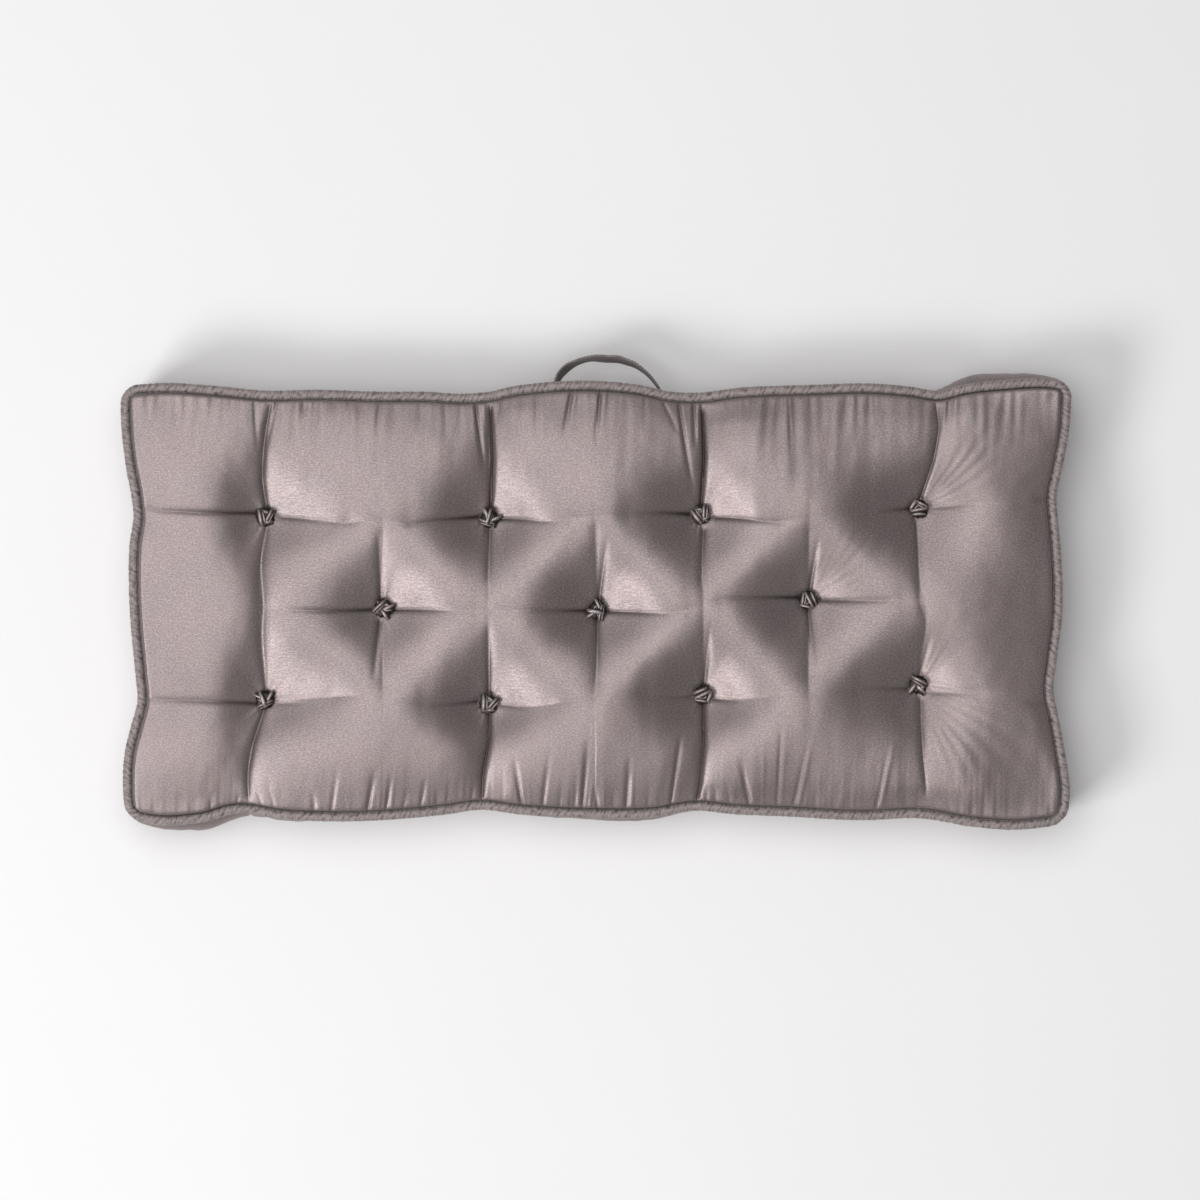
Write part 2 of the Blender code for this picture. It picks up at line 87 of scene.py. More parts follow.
# How far the folds wander from the grid between a tuft and their far end: nominal X and Y, then
# the slide in X and in Y
FOLD_SLIDES = (
    (-1.5 * COLUMN_X, 0.160, -0.0080, 0.0), (-1.5 * COLUMN_X, 0.035, -0.0090, 0.0),
    (-1.5 * COLUMN_X, -0.025, -0.0100, 0.0), (-1.5 * COLUMN_X, -0.160, -0.0120, 0.0),
    (1.5 * COLUMN_X, 0.172, 0.0095, 0.0), (1.5 * COLUMN_X, -0.020, 0.0090, 0.0),
    (0.407, ROW_Y, 0.0, 0.0085), (0.190, ROW_Y, 0.0, -0.0070), (-0.185, ROW_Y, 0.0, -0.0070),
    (-0.055, ROW_Y, 0.0, -0.0060), (-0.275, ROW_Y, 0.0, -0.0060), (-0.300, 0.0, 0.0, -0.0050),
    (-0.150, 0.0, 0.0, -0.0045), (-0.075, 0.0, 0.0, -0.0040), (0.075, 0.0, 0.0, -0.0075),
    (0.145, 0.0, 0.0, 0.0060), (0.300, 0.0, 0.0, 0.0035), (-0.180, -ROW_Y, 0.0, -0.0080),
    (-0.055, -ROW_Y, 0.0, -0.0080), (0.155, -ROW_Y, 0.0, -0.0060),
)

# Outline of the piping: nominal place along the edge, and how far it stands out from the plain
# rectangle. Its dips meet the folds where these reach the seams
BACK_OUTLINE = (
    (-0.500, -0.006), (-0.450, -0.003), (-0.399, -0.006), (-0.341, -0.011), (-0.299, -0.010),
    (-0.225, -0.012), (-0.180, -0.012), (-0.140, -0.014), (-0.113, -0.012), (-0.085, -0.006),
    (-0.050, -0.002), (0.005, -0.001), (0.045, -0.005), (0.078, -0.012), (0.108, -0.013),
    (0.150, -0.008), (0.224, -0.005), (0.291, -0.004), (0.316, -0.007), (0.341, -0.011),
    (0.373, -0.005), (0.427, 0.000), (0.470, 0.002), (0.500, -0.001),
)
FRONT_OUTLINE = (
    (-0.500, -0.012), (-0.459, -0.005), (-0.419, -0.007), (-0.341, -0.017), (-0.309, -0.011),
    (-0.280, -0.009), (-0.199, -0.012), (-0.155, -0.016), (-0.111, -0.021), (-0.074, -0.016),
    (0.001, -0.012), (0.064, -0.013), (0.115, -0.020), (0.155, -0.016), (0.201, -0.014),
    (0.282, -0.010), (0.333, -0.012), (0.397, -0.003), (0.445, 0.000), (0.500, -0.006),
)
LEFT_OUTLINE = (
    (-0.240, -0.003), (-0.200, 0.000), (-0.157, -0.002), (-0.123, -0.009), (-0.095, -0.015),
    (-0.068, -0.013), (-0.018, -0.008), (0.028, -0.006), (0.060, -0.007), (0.089, -0.011),
    (0.109, -0.009), (0.147, -0.003), (0.200, 0.002), (0.240, 0.002),
)
RIGHT_OUTLINE = (
    (-0.240, -0.005), (-0.200, 0.000), (-0.161, -0.005), (-0.127, -0.011), (-0.095, -0.017),
    (-0.062, -0.014), (-0.011, -0.008), (0.043, -0.009), (0.073, -0.012), (0.098, -0.014),
    (0.136, -0.008), (0.183, -0.001), (0.240, 0.002),
)

# Boxing band from the top seam down: drop, and share of the bulge that the filling gives it
BAND_PROFILE = (
    (0.0, 0.0), (0.0058, 0.08), (0.018, 0.72), (0.040, 1.0), (0.062, 0.72), (0.0742, 0.08),
    (0.080, 0.0),
)

# Bulge of the band: place along the edge, and how far it stands out from the seam
BACK_BULGE = (
    (-0.500, 0.0085), (0.260, 0.0085), (0.330, 0.0110), (0.395, 0.0190), (0.440, 0.0170),
    (0.500, 0.0095),
)
FRONT_BULGE = (
    (-0.500, 0.0100), (-0.455, 0.0160), (-0.400, 0.0190), (-0.335, 0.0130), (-0.270, 0.0090),
    (-0.060, 0.0110), (0.050, 0.0130), (0.120, 0.0110), (0.200, 0.0090), (0.500, 0.0090),
)

# Valleys on nominal grid lines: which way they run, the line, start, end, pinch at a tuft, and
# the share of the pinch that is left far from one
VALLEYS = (
    ("y", -1.5 * COLUMN_X, -COVER_Y, COVER_Y, 0.62, 0.85),
    ("y", -0.5 * COLUMN_X, ROW_Y, COVER_Y, 0.58, 0.88),
    ("y", 0.5 * COLUMN_X, ROW_Y, COVER_Y, 0.42, 0.80),
    ("y", 1.5 * COLUMN_X, -COVER_Y, COVER_Y, 0.50, 0.30),
    ("y", -0.5 * COLUMN_X, -COVER_Y, -ROW_Y, 0.58, 0.90),
    ("y", 0.5 * COLUMN_X, -COVER_Y, -ROW_Y, 0.48, 0.85),
    ("y", -0.5 * COLUMN_X, -ROW_Y, ROW_Y, 0.44, 0.30),
    ("y", 0.5 * COLUMN_X, -ROW_Y, ROW_Y, 0.44, 0.30),
    ("y", -COLUMN_X, -0.078, 0.078, 0.46, 0.40),
    ("y", 0.0, -0.078, 0.078, 0.46, 0.40),
    ("y", COLUMN_X, -0.072, 0.076, 0.46, 0.40),
    ("x", ROW_Y, -COVER_X, -0.262, 0.38, 0.60),
    ("x", ROW_Y, -0.196, -0.022, 0.40, 0.35),
    ("x", ROW_Y, 0.038, 0.196, 0.40, 0.35),
    ("x", ROW_Y, 0.290, 0.420, 0.34, 0.30),
    ("x", 0.0, -0.322, -0.128, 0.42, 0.35),
    ("x", 0.0, -0.092, 0.096, 0.42, 0.35),
    ("x", 0.0, 0.134, 0.318, 0.42, 0.35),
    ("x", -ROW_Y, -COVER_X, -0.278, 0.36, 0.60),
    ("x", -ROW_Y, -0.182, -0.052, 0.34, 0.35),
    ("x", -ROW_Y, 0.056, 0.176, 0.34, 0.35),
    ("x", -ROW_Y, 0.282, 0.410, 0.32, 0.35),
)

# Where the filling sits fuller or thinner: nominal X and Y, reach and height
SWELLS = (
    (0.158, 0.160, 0.045, 0.0054),
    (0.156, -0.165, 0.045, 0.0044),
    (0.352, 0.190, 0.045, 0.0028),
    (0.352, -0.190, 0.045, 0.0042),
    (-0.420, 0.020, 0.040, -0.0010),
)

# Fans of fine folds in the stretched cloth round a tuft: direction and spread in degrees,
# reach and height in millimetres, and folds in a full turn
FANS = (
    ("back_1", 160, 26, 40, 0.16, 34), ("back_1", -60, 30, 34, 0.08, 28),
    ("back_2", 150, 22, 34, 0.10, 30), ("back_2", -50, 28, 40, 0.12, 32),
    ("back_3", 35, 26, 38, 0.10, 30), ("back_3", -130, 30, 36, 0.10, 30),
    ("back_4", 42, 24, 62, 0.26, 36), ("back_4", -160, 24, 34, 0.12, 30),
    ("middle_1", 145, 34, 44, 0.14, 34), ("middle_1", -35, 28, 40, 0.10, 30),
    ("middle_2", 140, 30, 46, 0.14, 34), ("middle_2", 40, 26, 46, 0.12, 30),
    ("middle_3", 48, 24, 52, 0.26, 36), ("middle_3", -32, 26, 46, 0.16, 34),
    ("front_1", 40, 28, 34, 0.10, 30), ("front_1", -60, 26, 36, 0.12, 32),
    ("front_2", 130, 30, 34, 0.10, 30), ("front_2", -50, 28, 40, 0.14, 32),
    ("front_3", 120, 26, 36, 0.12, 32), ("front_3", -50, 28, 42, 0.14, 34),
    ("front_4", -46, 30, 70, 0.28, 38), ("front_4", 55, 22, 40, 0.14, 32),
)

# Sharp creases in millimetres: where, depth at the start and the end, width, and the way they take
CREASES = (
    ("back_1 to the back seam", 2.6, 1.2, 2.2, ((-348, 102), (-353, 132), (-349, 185), (-342, 219))),
    ("back_2 to the back seam", 3.6, 3.0, 1.8, ((-112, 102), (-110, 153), (-112, 214))),
    ("back_3 to the back seam", 3.6, 3.0, 1.8, ((110, 104), (113, 156), (111, 213))),
    ("back_4 to the back seam", 2.8, 1.2, 2.2, ((342, 114), (355, 153), (361, 188), (357, 218))),
    ("front_1 to the front seam", 2.2, 1.2, 2.4,
     ((-351, -109), (-362, -146), (-368, -178), (-367, -210))),
    ("front_2 to the front seam", 3.0, 2.4, 1.8,
     ((-113, -114), (-113, -140), (-120, -178), (-121, -212))),
    ("front_3 to the front seam", 3.0, 2.6, 1.8, ((113, -102), (113, -146), (109, -189), (105, -214))),
    ("front_4 to the front seam", 2.0, 1.0, 3.0, ((342, -100), (344, -161), (348, -203))),
    ("back_1 down", 1.6, 0.3, 3.4, ((-348, 81), (-355, 37), (-356, 0))),
    ("front_1 up", 1.6, 0.3, 3.4, ((-348, -92), (-354, -47), (-356, 0))),
    ("back_2 down", 2.4, 0.3, 2.6, ((-113, 80), (-114, 21))),
    ("front_2 up", 2.6, 0.3, 2.6, ((-114, -92), (-114, -18))),
    ("back_3 down", 2.6, 0.3, 2.6, ((113, 79), (109, 16))),
    ("front_3 up", 2.6, 0.3, 2.6, ((113, -87), (120, -11))),
    ("back_4 down", 1.8, 0.3, 3.2, ((337, 88), (340, 5), (346, -18))),
    ("front_4 up", 1.6, 0.3, 3.2, ((342, -71), (353, -24))),
    ("middle_1 up", 2.6, 0.3, 2.4, ((-228, 5), (-230, 79))),
    ("middle_1 down", 2.6, 0.3, 2.4, ((-229, -18), (-235, -83))),
    ("middle_2 up", 2.6, 0.3, 2.4, ((2, 5), (12, 79))),
    ("middle_2 down", 2.6, 0.3, 2.4, ((1, -16), (1, -85))),
    ("middle_3 up", 2.6, 0.3, 2.4, ((225, 16), (234, 79))),
    ("middle_3 down", 2.6, 0.3, 2.4, ((223, -5), (230, -66))),
    ("back_1 left", 3.2, 1.0, 2.0, ((-357, 97), (-408, 97), (-456, 99), (-482, 105))),
    ("back_1 right", 2.4, 0.3, 2.0, ((-335, 93), (-292, 90), (-252, 84))),
    ("back_2 left", 3.6, 0.3, 2.0, ((-123, 93), (-165, 90), (-205, 82))),
    ("back_2 right", 3.2, 0.3, 1.6, ((-102, 91), (-72, 90), (-43, 87))),
    ("back_3 left", 3.6, 0.3, 2.0, ((99, 96), (72, 97), (37, 96))),
    ("back_3 right", 3.2, 0.3, 1.6, ((124, 92), (151, 91), (204, 85))),
    ("back_4 left", 2.8, 0.3, 2.2, ((332, 102), (293, 99))),
    ("back_4 right", 1.6, 0.3, 2.8, ((352, 102), (407, 108))),
    ("back_4 at the right seam", 1.8, 0.3, 2.6, ((483, 112), (455, 110))),
    ("middle_1 left", 3.4, 0.3, 1.6, ((-236, -5), (-281, -6), (-329, -5))),
    ("middle_1 right", 3.2, 0.3, 1.6, ((-217, -5), (-150, -5))),
    ("middle_2 left", 3.4, 0.3, 1.8, ((-8, -6), (-71, -5))),
    ("middle_2 right", 3.2, 0.3, 1.6, ((11, -7), (80, -9))),
    ("middle_3 left", 3.6, 0.3, 1.8, ((216, 8), (172, 8), (132, 7))),
    ("middle_3 right", 3.2, 0.3, 1.6, ((233, 5), (318, 4))),
    ("front_1 left", 2.8, 0.8, 2.2, ((-357, -104), (-418, -101), (-470, -99), (-484, -98))),
    ("front_1 right", 1.2, 0.2, 2.4, ((-337, -104), (-308, -104))),
    ("front_2 left", 2.8, 0.3, 2.0, ((-125, -102), (-178, -107))),
    ("front_2 right", 1.8, 0.2, 2.2, ((-102, -105), (-68, -109))),
    ("front_3 left", 1.6, 0.2, 2.4, ((101, -97), (59, -97))),
    ("front_3 right", 2.4, 0.2, 1.8, ((123, -99), (153, -102))),
    ("front_4 left", 2.2, 0.3, 2.2, ((329, -88), (278, -87))),
    ("front_4 right", 1.5, 0.3, 2.6, ((352, -92), (415, -95))),
    ("front_4 at the right seam", 1.5, 0.3, 2.6, ((481, -104), (449, -103))),
)

# Puckers along the seams in millimetres: place on the seam, slant, reach, height and width
FRONT_PUCKERS = (
    (-407, 1, 19, -1.6, 3.0), (-401, 0, 15, 0.8, 3.0), (-379, 1, 11, -1.2, 2.5),
    (-353, -4, 15, -1.0, 2.5), (-340, -6, 27, -1.0, 2.5), (-298, -1, 23, -2.0, 3.0),
    (-292, 1, 17, 1.0, 3.0), (-280, 7, 49, -1.8, 3.5), (-265, -1, 21, -0.8, 3.0),
    (-242, 8, 42, -2.4, 4.0), (-230, 3, 26, 1.0, 3.0), (-222, 5, 34, -1.8, 3.0),
    (-216, 4, 49, 1.5, 3.0), (-204, 4, 21, -1.2, 3.0), (-186, 5, 30, -1.8, 3.0),
    (-179, 2, 36, 1.2, 3.0), (-169, 1, 16, -1.0, 3.0), (-158, 2, 26, -1.0, 3.0),
    (-150, 1, 38, 1.0, 3.0), (-142, 1, 32, 1.0, 3.0), (-132, 2, 21, -0.8, 3.0),
    (-79, -7, 55, -2.8, 3.5), (-70, -2, 42, 1.2, 3.0), (-57, 7, 63, -1.8, 3.5),
    (-39, 2, 32, -1.2, 3.0), (-31, 3, 61, 1.6, 3.5), (-23, 2, 42, -1.2, 3.0),
    (-15, 5, 68, -2.4, 3.5), (-7, 4, 46, 1.6, 3.0), (1, -2, 23, -1.6, 3.0), (8, 0, 36, 1.2, 3.0),
    (18, 0, 21, -0.8, 3.0), (31, 3, 49, -2.2, 3.5), (37, 2, 53, 2.0, 3.0), (54, 2, 26, -0.6, 3.0),
    (78, 9, 70, -2.6, 3.0), (84, 4, 25, 1.0, 3.0), (116, 0, 15, -1.2, 3.0),
    (126, -1, 17, -1.2, 3.0), (140, -2, 25, -1.2, 3.0), (161, -9, 53, -2.0, 3.5),
    (167, -5, 32, 1.2, 3.0), (175, 1, 76, 1.2, 2.5), (190, 4, 91, -1.2, 2.0),
    (195, 4, 84, 1.0, 2.5), (207, 11, 58, -1.0, 3.0), (213, 12, 70, 1.6, 3.5),
    (235, 1, 27, 0.6, 3.0), (255, 3, 17, 1.6, 2.5), (270, 1, 32, 1.5, 2.5),
    (294, 11, 59, -1.2, 2.5), (299, 11, 61, 2.2, 2.5), (373, -1, 13, -0.5, 3.0),
    (399, 2, 13, 0.8, 3.0),
)
BACK_PUCKERS = (
    (-401, 1, 11, -0.6, 3.0), (-385, -1, 13, -0.8, 3.0), (-361, 3, 47, -1.4, 3.0),
    (-337, -9, 46, -1.4, 3.0), (-294, 1, 21, -0.6, 4.0), (-277, 2, 25, -1.0, 4.0),
    (-261, -2, 27, -1.0, 4.0), (-245, 1, 21, -0.7, 4.0), (-228, -3, 32, -0.8, 4.0),
    (-199, 0, 42, 0.8, 5.0), (-186, 0, 32, -0.7, 4.0), (-174, 0, 42, 0.8, 5.0),
    (-160, 1, 38, -0.8, 4.0), (-144, 0, 32, -0.5, 4.0), (-128, 8, 65, -3.2, 3.0),
    (-119, 2, 32, 1.4, 3.0), (-102, -3, 23, -1.2, 3.0), (-81, 0, 21, -0.6, 4.0),
    (-63, 1, 59, -0.9, 5.0), (-49, -1, 32, 0.6, 4.0), (-26, -7, 40, -2.6, 3.0),
    (-21, -7, 36, 1.6, 3.0), (-10, 1, 26, 1.2, 4.0), (4, -4, 49, -2.4, 3.0), (10, -4, 40, 1.4, 3.0),
    (27, 0, 27, 0.6, 4.0), (51, 0, 32, -0.7, 4.0), (69, 15, 32, -1.6, 3.0), (86, 13, 89, -3.2, 3.0),
    (102, 2, 44, -3.0, 3.0), (108, 1, 23, 1.6, 3.0), (128, -2, 27, 1.0, 4.0),
    (137, -1, 21, -0.8, 3.0), (153, -2, 32, 1.0, 3.0), (164, -2, 25, -0.7, 3.0),
    (183, 0, 21, -0.5, 3.0), (202, 2, 55, -1.2, 1.8), (225, 0, 17, -0.5, 3.0),
    (277, 1, 23, 1.0, 3.0), (290, 1, 34, 1.5, 3.0), (299, 0, 19, -0.8, 3.0), (335, 1, 17, 0.8, 3.0),
    (369, -7, 53, 1.6, 2.5), (391, 1, 17, 1.0, 2.5), (421, 0, 11, 0.6, 3.0),
)

# Carrying strap: place along X, how far its middle stands off the seat, and the lean of its width
STRAP_STATIONS = (
    (-0.0790, 0.0000, 0.0), (-0.0713, 0.0000, 0.0), (-0.0600, 0.0000, 0.0), (-0.0500, 0.0000, 0.0),
    (-0.0460, 0.0016, 10.0), (-0.0415, 0.0078, 22.0), (-0.0335, 0.0172, 19.0),
    (-0.0215, 0.0242, 10.0), (-0.0060, 0.0284, 9.0), (0.0100, 0.0290, 13.0), (0.0290, 0.0286, 12.0),
    (0.0440, 0.0240, 7.0), (0.0575, 0.0150, 3.0), (0.0665, 0.0060, 1.0), (0.0705, 0.0018, 0.0),
    (0.0740, 0.0000, 0.0), (0.0820, 0.0000, 0.0), (0.0920, 0.0000, 0.0), (0.1000, 0.0000, 0.0),
)

# Creases of the boxing band: side, place along it, depth, width, and how far down they reach
BAND_CREASES = (
    ("front", -0.3708, 0.0032, 0.0026, 0.10), ("front", -0.353, 0.0016, 0.0030, 0.05),
    ("front", -0.119, 0.0020, 0.0030, 0.040), ("front", 0.107, 0.0020, 0.0030, 0.040),
    ("front", 0.345, 0.0014, 0.0034, 0.040), ("back", -0.343, 0.0014, 0.0030, 0.040),
    ("back", -0.113, 0.0018, 0.0030, 0.030), ("back", 0.108, 0.0018, 0.0030, 0.030),
    ("back", 0.357, 0.0016, 0.0030, 0.045),
)

# Noises of the cloth: whether on the cloth or through the piece, stretch, scale and detail
PLAIN = (1.0, 1.0, 1.0)
NOISES = {
    "mottle": (False, PLAIN, 26.0, 3.0),
    "cloud": (False, PLAIN, 7.0, 2.0),
    "slub": (True, (110.0, 620.0, 1.0), 1.0, 3.0),
    "grain": (True, (460.0, 760.0, 1.0), 1.0, 2.0),
    "crumple": (True, (1.0, 1.3, 1.0), 120.0, 3.0),
}

# The two tones of the dye and the noise values between which they mix
DYE_TONES = ((0.95, -0.010), (1.05, 0.022))
DYE_SPAN = (0.3, 0.7, 0.0, 1.0)

# Tints over the dye: the noise that places one, the noise values where it comes in with its share
# at both, and how light and warm it is
TINTS = (
    ("slub", (0.35, 0.75, 0.0, 0.16), (1.35,)),
    ("cloud", (0.35, 0.65, 0.0, 0.10), (0.82, 0.03)),
    ("grain", (0.34, 0.62, 0.46, 0.0), (0.55,)),
    ("grain", (0.48, 0.70, 0.0, 0.44), (1.55,)),
)

# Slub noise values between which the gloss changes
GLOSS_SPAN = (0.25, 0.75)


def curve_through(rows: tuple[tuple[float, float], ...], at: Array) -> Array:
    """Reads a smooth curve through a short table.

    Args:
        rows: Pairs of place and value, in order of place.
        at: Places to read.

    Returns:
        The values on a cubic curve through the rows.
    """
    places, values = np.array(rows, float).T
    slopes = np.gradient(values, places)
    i = np.clip(np.searchsorted(places, at) - 1, 0, len(places) - 2)
    step = places[i + 1] - places[i]
    t = np.clip((at - places[i]) / step, 0.0, 1.0)
    start = (1 + 2 * t) * (1 - t) ** 2 * values[i] + t * (1 - t) ** 2 * step * slopes[i]
    end = t * t * (3 - 2 * t) * values[i + 1] + t * t * (t - 1) * step * slopes[i + 1]
    return start + end


def smooth_step(low: float, high: float, value: Array) -> Array:
    """0 below `low`, 1 above `high`, and a smooth rise between them."""
    t = np.clip((value - low) / (high - low), 0.0, 1.0)
    return t * t * (3 - 2 * t)


def bell(away: Array, reach: float | Array) -> Array:
    """1 at no distance, falling smoothly to about a third at `reach`."""
    return np.exp(-((away / reach) ** 2))


def rounded(wave: Array, power: float) -> Array:
    """A sine or cosine with fuller shoulders, for sections squarer than a circle."""
    return np.sign(wave) * np.abs(wave) ** power


def mesh_pairs(first: Array, second: Array) -> tuple[Array, Array]:
    """Every pair of two lists, as two flat lists with the first one running fastest."""
    grid = np.meshgrid(first, second)
    return grid[0].ravel(), grid[1].ravel()


@dataclass(frozen=True)
class Waves:
    """Drawn waves in cloth: height, seed, how many, and their shortest and longest pitch."""

    height: float
    seed: int
    count: int
    shortest: float
    longest: float

    def at(self, x: Array, y: Array | float, shift: int = 0) -> Array:
        """Sums plane waves of drawn directions into a gentle unevenness.

        Args:
            x: First coordinate of each point.
            y: Second coordinate of each point.
            shift: Added to the seed, for another set of the same kind.

        Returns:
            A height at each point, about as far below 0 as above it.
        """
        draw = np.random.default_rng(self.seed + shift)
        total = np.zeros(np.broadcast(x, y).shape)
        for _ in range(self.count):
            angle, phase = draw.uniform(0, math.tau, 2)
            pitch = self.shortest * (self.longest / self.shortest) ** draw.uniform()
            total += np.sin(math.tau / pitch * (x * math.cos(angle) + y * math.sin(angle)) + phase)
        return self.height * total / math.sqrt(self.count)


@dataclass(frozen=True)
class GridCut:
    """How the lines of a grid are spread: far step, step near a fold, and how far that spreads."""

    coarse: float
    fine: float
    reach: float
    edge: float = 0.0006
    samples: int = 8001

    def lines(self, folds: list[float], half: float) -> Array:
        """Places grid lines from -half to half, closer together near the folds.

        Args:
            folds: Places that need fine cells.
            half: Half of the span, whose ends are seams.

        Returns:
            The grid lines in order, with one more close to each seam.
        """
        at = np.linspace(-half, half, self.samples)
        near = np.max([bell(at - fold, self.reach) for fold in (-half, *folds, half)], axis=0)
        density = 1.0 / (self.coarse + (self.fine - self.coarse) * near)
        total = np.concatenate([[0.0], np.cumsum((density[1:] + density[:-1]) / 2 * np.diff(at))])
        lines = np.interp(np.linspace(0, total[-1], round(total[-1]) + 1), total, at)
        return np.sort(np.append(lines, [self.edge - half, half - self.edge]))


@dataclass(frozen=True)
class CushionPlan:
    """The cut of the cushion: where its seams, tufts and panels lie.

    The named values and tables are those of the CAD source, so that a dressed
    piece fills the space of the solid that it replaces.
    """

    corner_radius: float = 0.009
    band_height: float = 0.080
    top_seam: float = 0.091
    low_seam: float = 0.011
    seam_wave: float = 0.35
    low_twist: float = math.radians(0.25)
    pillow_height: float = 0.0305
    under_height: float = 0.020
    edge_rise: float = 0.050
    end_rises: tuple[float, float] = (0.140, 0.112)
    swell_fade: float = 0.030
    tuft_sink: float = 0.002
    tuft_reach: float = 0.055
    under_tuft_sink: float = 0.011
    tuft_seat: float = 0.0095
    tuft_spread: float = 0.046
    tuft_shoulder: float = 0.085
    valley_width: float = 0.019
    valley_fade: float = 0.013
    valley_hold: float = 0.055
    slide_spread: float = 0.045
    fold_spread: float = 0.028
    end_bulge: float = 0.0090
    piping_radius: float = 0.005
    gap: float = 0.0003
    origin: tuple[float, float] = (0.000956, -0.010715)

    def stand(self, points: Array) -> Array:
        """Moves points from the plan's own centre into the row frame."""
        return points + np.array([*self.origin, 0.0])

    def outline_offsets(self, x: Array, y: Array) -> tuple[Array, Array]:
        """Reads the outline tables.

        Args:
            x: Nominal place along the length.
            y: Nominal place across the depth.

        Returns:
            How far the outline moves each point out, in X and in Y.
        """
        right = curve_through(RIGHT_OUTLINE, y) * np.clip(x / COVER_X, 0, 1) ** 2
        left = curve_through(LEFT_OUTLINE, y) * np.clip(-x / COVER_X, 0, 1) ** 2
        back = curve_through(BACK_OUTLINE, x) * np.clip(y / COVER_Y, 0, 1) ** 2
        front = curve_through(FRONT_OUTLINE, x) * np.clip(-y / COVER_Y, 0, 1) ** 2
        return right - left, back - front

    def corner_shares(self, x: Array, y: Array) -> list[Array]:
        """How far into the rounding of a corner each point lies, from 0 to 1, in X and in Y."""
        insides = (np.abs(x) - COVER_X, np.abs(y) - COVER_Y)
        return [np.clip((inside + self.corner_radius) / self.corner_radius, 0, 1) for inside in insides]

    def outward(self, x: Array, y: Array) -> tuple[Array, Array]:
        """Finds the way out of the rounded rectangle.

        Args:
            x: Nominal X of points of the rim.
            y: Nominal Y of points of the rim.

        Returns:
            X and Y of the unit vector out at each point.
        """
        u, v = self.corner_shares(x, y)
        across = np.stack([u * np.sqrt(1 - v * v / 2), v * np.sqrt(1 - u * u / 2)])
        size = np.maximum(np.hypot(*across), 1e-9)
        return np.sign(x) * across[0] / size, np.sign(y) * across[1] / size

    def place(self, x: Array, y: Array, share: Array | float = 0.0) -> tuple[Array, Array]:
        """Finds where points of the nominal rectangle lie in plan.

        Args:
            x: Nominal place along the length.
            y: Nominal place across the depth.
            share: 0 at the top seam and 1 at the lower one, which is a little turned.

        Returns:
            The real X and Y about the plan's own centre.
        """
        u, v = self.corner_shares(x, y)
        out_x, out_y = self.outline_offsets(x, y)
        px = x + np.sign(x) * self.corner_radius * u * (np.sqrt(1 - v * v / 2) - 1) + out_x
        py = y + np.sign(y) * self.corner_radius * v * (np.sqrt(1 - u * u / 2) - 1) + out_y
        _, rows_x, rows_y, real_x, real_y = (np.array(column) for column in zip(*TUFTS))
        tuft_out_x, tuft_out_y = self.outline_offsets(rows_x, rows_y)
        pulls = zip(rows_x, rows_y, real_x - rows_x - tuft_out_x, real_y - rows_y - tuft_out_y)
        slides = (((*pulls, *EDGE_SLIDES), self.slide_spread), (FOLD_SLIDES, self.fold_spread))
        for rows, spread in slides:
            for nx, ny, dx, dy in rows:
                near = np.exp(-((x - nx) ** 2 + (y - ny) ** 2) / (2 * spread**2))
                px, py = px + dx * near, py + dy * near
        turn = share * self.low_twist
        return px - py * turn, py + px * turn

    def band_point(self, x: Array, y: Array, drop: Array | float) -> tuple[Array, Array, Array]:
        """Finds where points of the boxing band lie.

        Args:
            x: Nominal X of points of the rim.
            y: Nominal Y of points of the rim.
            drop: How far below the top seam.

        Returns:
            X, Y and Z about the plan's own centre.
        """
        share = drop / self.band_height
        px, py = self.place(x, y, share)
        along_end = np.abs(y) < COVER_Y - self.corner_radius
        bulge = np.where(along_end, self.end_bulge, curve_through(BACK_BULGE, x))
        bulge = np.where(y <= self.corner_radius - COVER_Y, curve_through(FRONT_BULGE, x), bulge)
        out_x, out_y = self.outward(x, y)
        bulge = bulge * curve_through(BAND_PROFILE, drop * np.ones_like(x))
        z = self.top_seam + self.seam_rise(x, y) * (1 - share) - drop
        return px + out_x * bulge, py + out_y * bulge, z

    def from_tufts(self, x: Array, y: Array) -> list[Array]:
        """Distance of each point from the seat of each tuft, 0 on the seat."""
        reaches = (np.hypot(x - tuft[1], y - tuft[2]) for tuft in TUFTS)
        return [np.maximum(0, reach - self.tuft_seat) for reach in reaches]

    def fullness(self, x: Array, y: Array) -> Array:
        """Shapes the filling between the seams, the valleys and the tufts.

        Args:
            x: Nominal place along the length.
            y: Nominal place across the depth.

        Returns:
            Share of the full pillow height: 0 at the seams and tufts.
        """
        share = 1 - np.exp(-(COVER_X - np.abs(x)) / np.where(x < 0, *self.end_rises))
        share = share * (1 - np.exp(-(COVER_Y - np.abs(y)) / self.edge_rise))
        for runs, line, start, end, pinch, kept in VALLEYS:
            across, along = (x - line, y) if runs == "y" else (y - line, x)
            past = np.maximum(0, np.maximum(start - along, along - end)) / self.valley_fade
            side, way = (1, 2) if runs == "y" else (2, 1)
            knots = [tuft[way] for tuft in TUFTS if math.isclose(tuft[side], line, abs_tol=1e-6)]
            nearest = np.min([np.abs(along - knot) for knot in knots], axis=0)
            hold = kept + (1 - kept) * bell(nearest, self.valley_hold)
            groove = np.exp(-np.abs(across) / self.valley_width - past**2 / (1 + past))
            share = share * (1 - pinch * hold * groove)
        for away in self.from_tufts(x, y):
            rise = away / self.tuft_spread + (away / self.tuft_shoulder) ** 2
            share = share * (1 - np.exp(-rise))
        return share

    def tuft_pull(self, x: Array, y: Array) -> Array:
        """1 on a tuft's seat, dying away around it."""
        return np.max([bell(away, self.tuft_reach) for away in self.from_tufts(x, y)], axis=0)

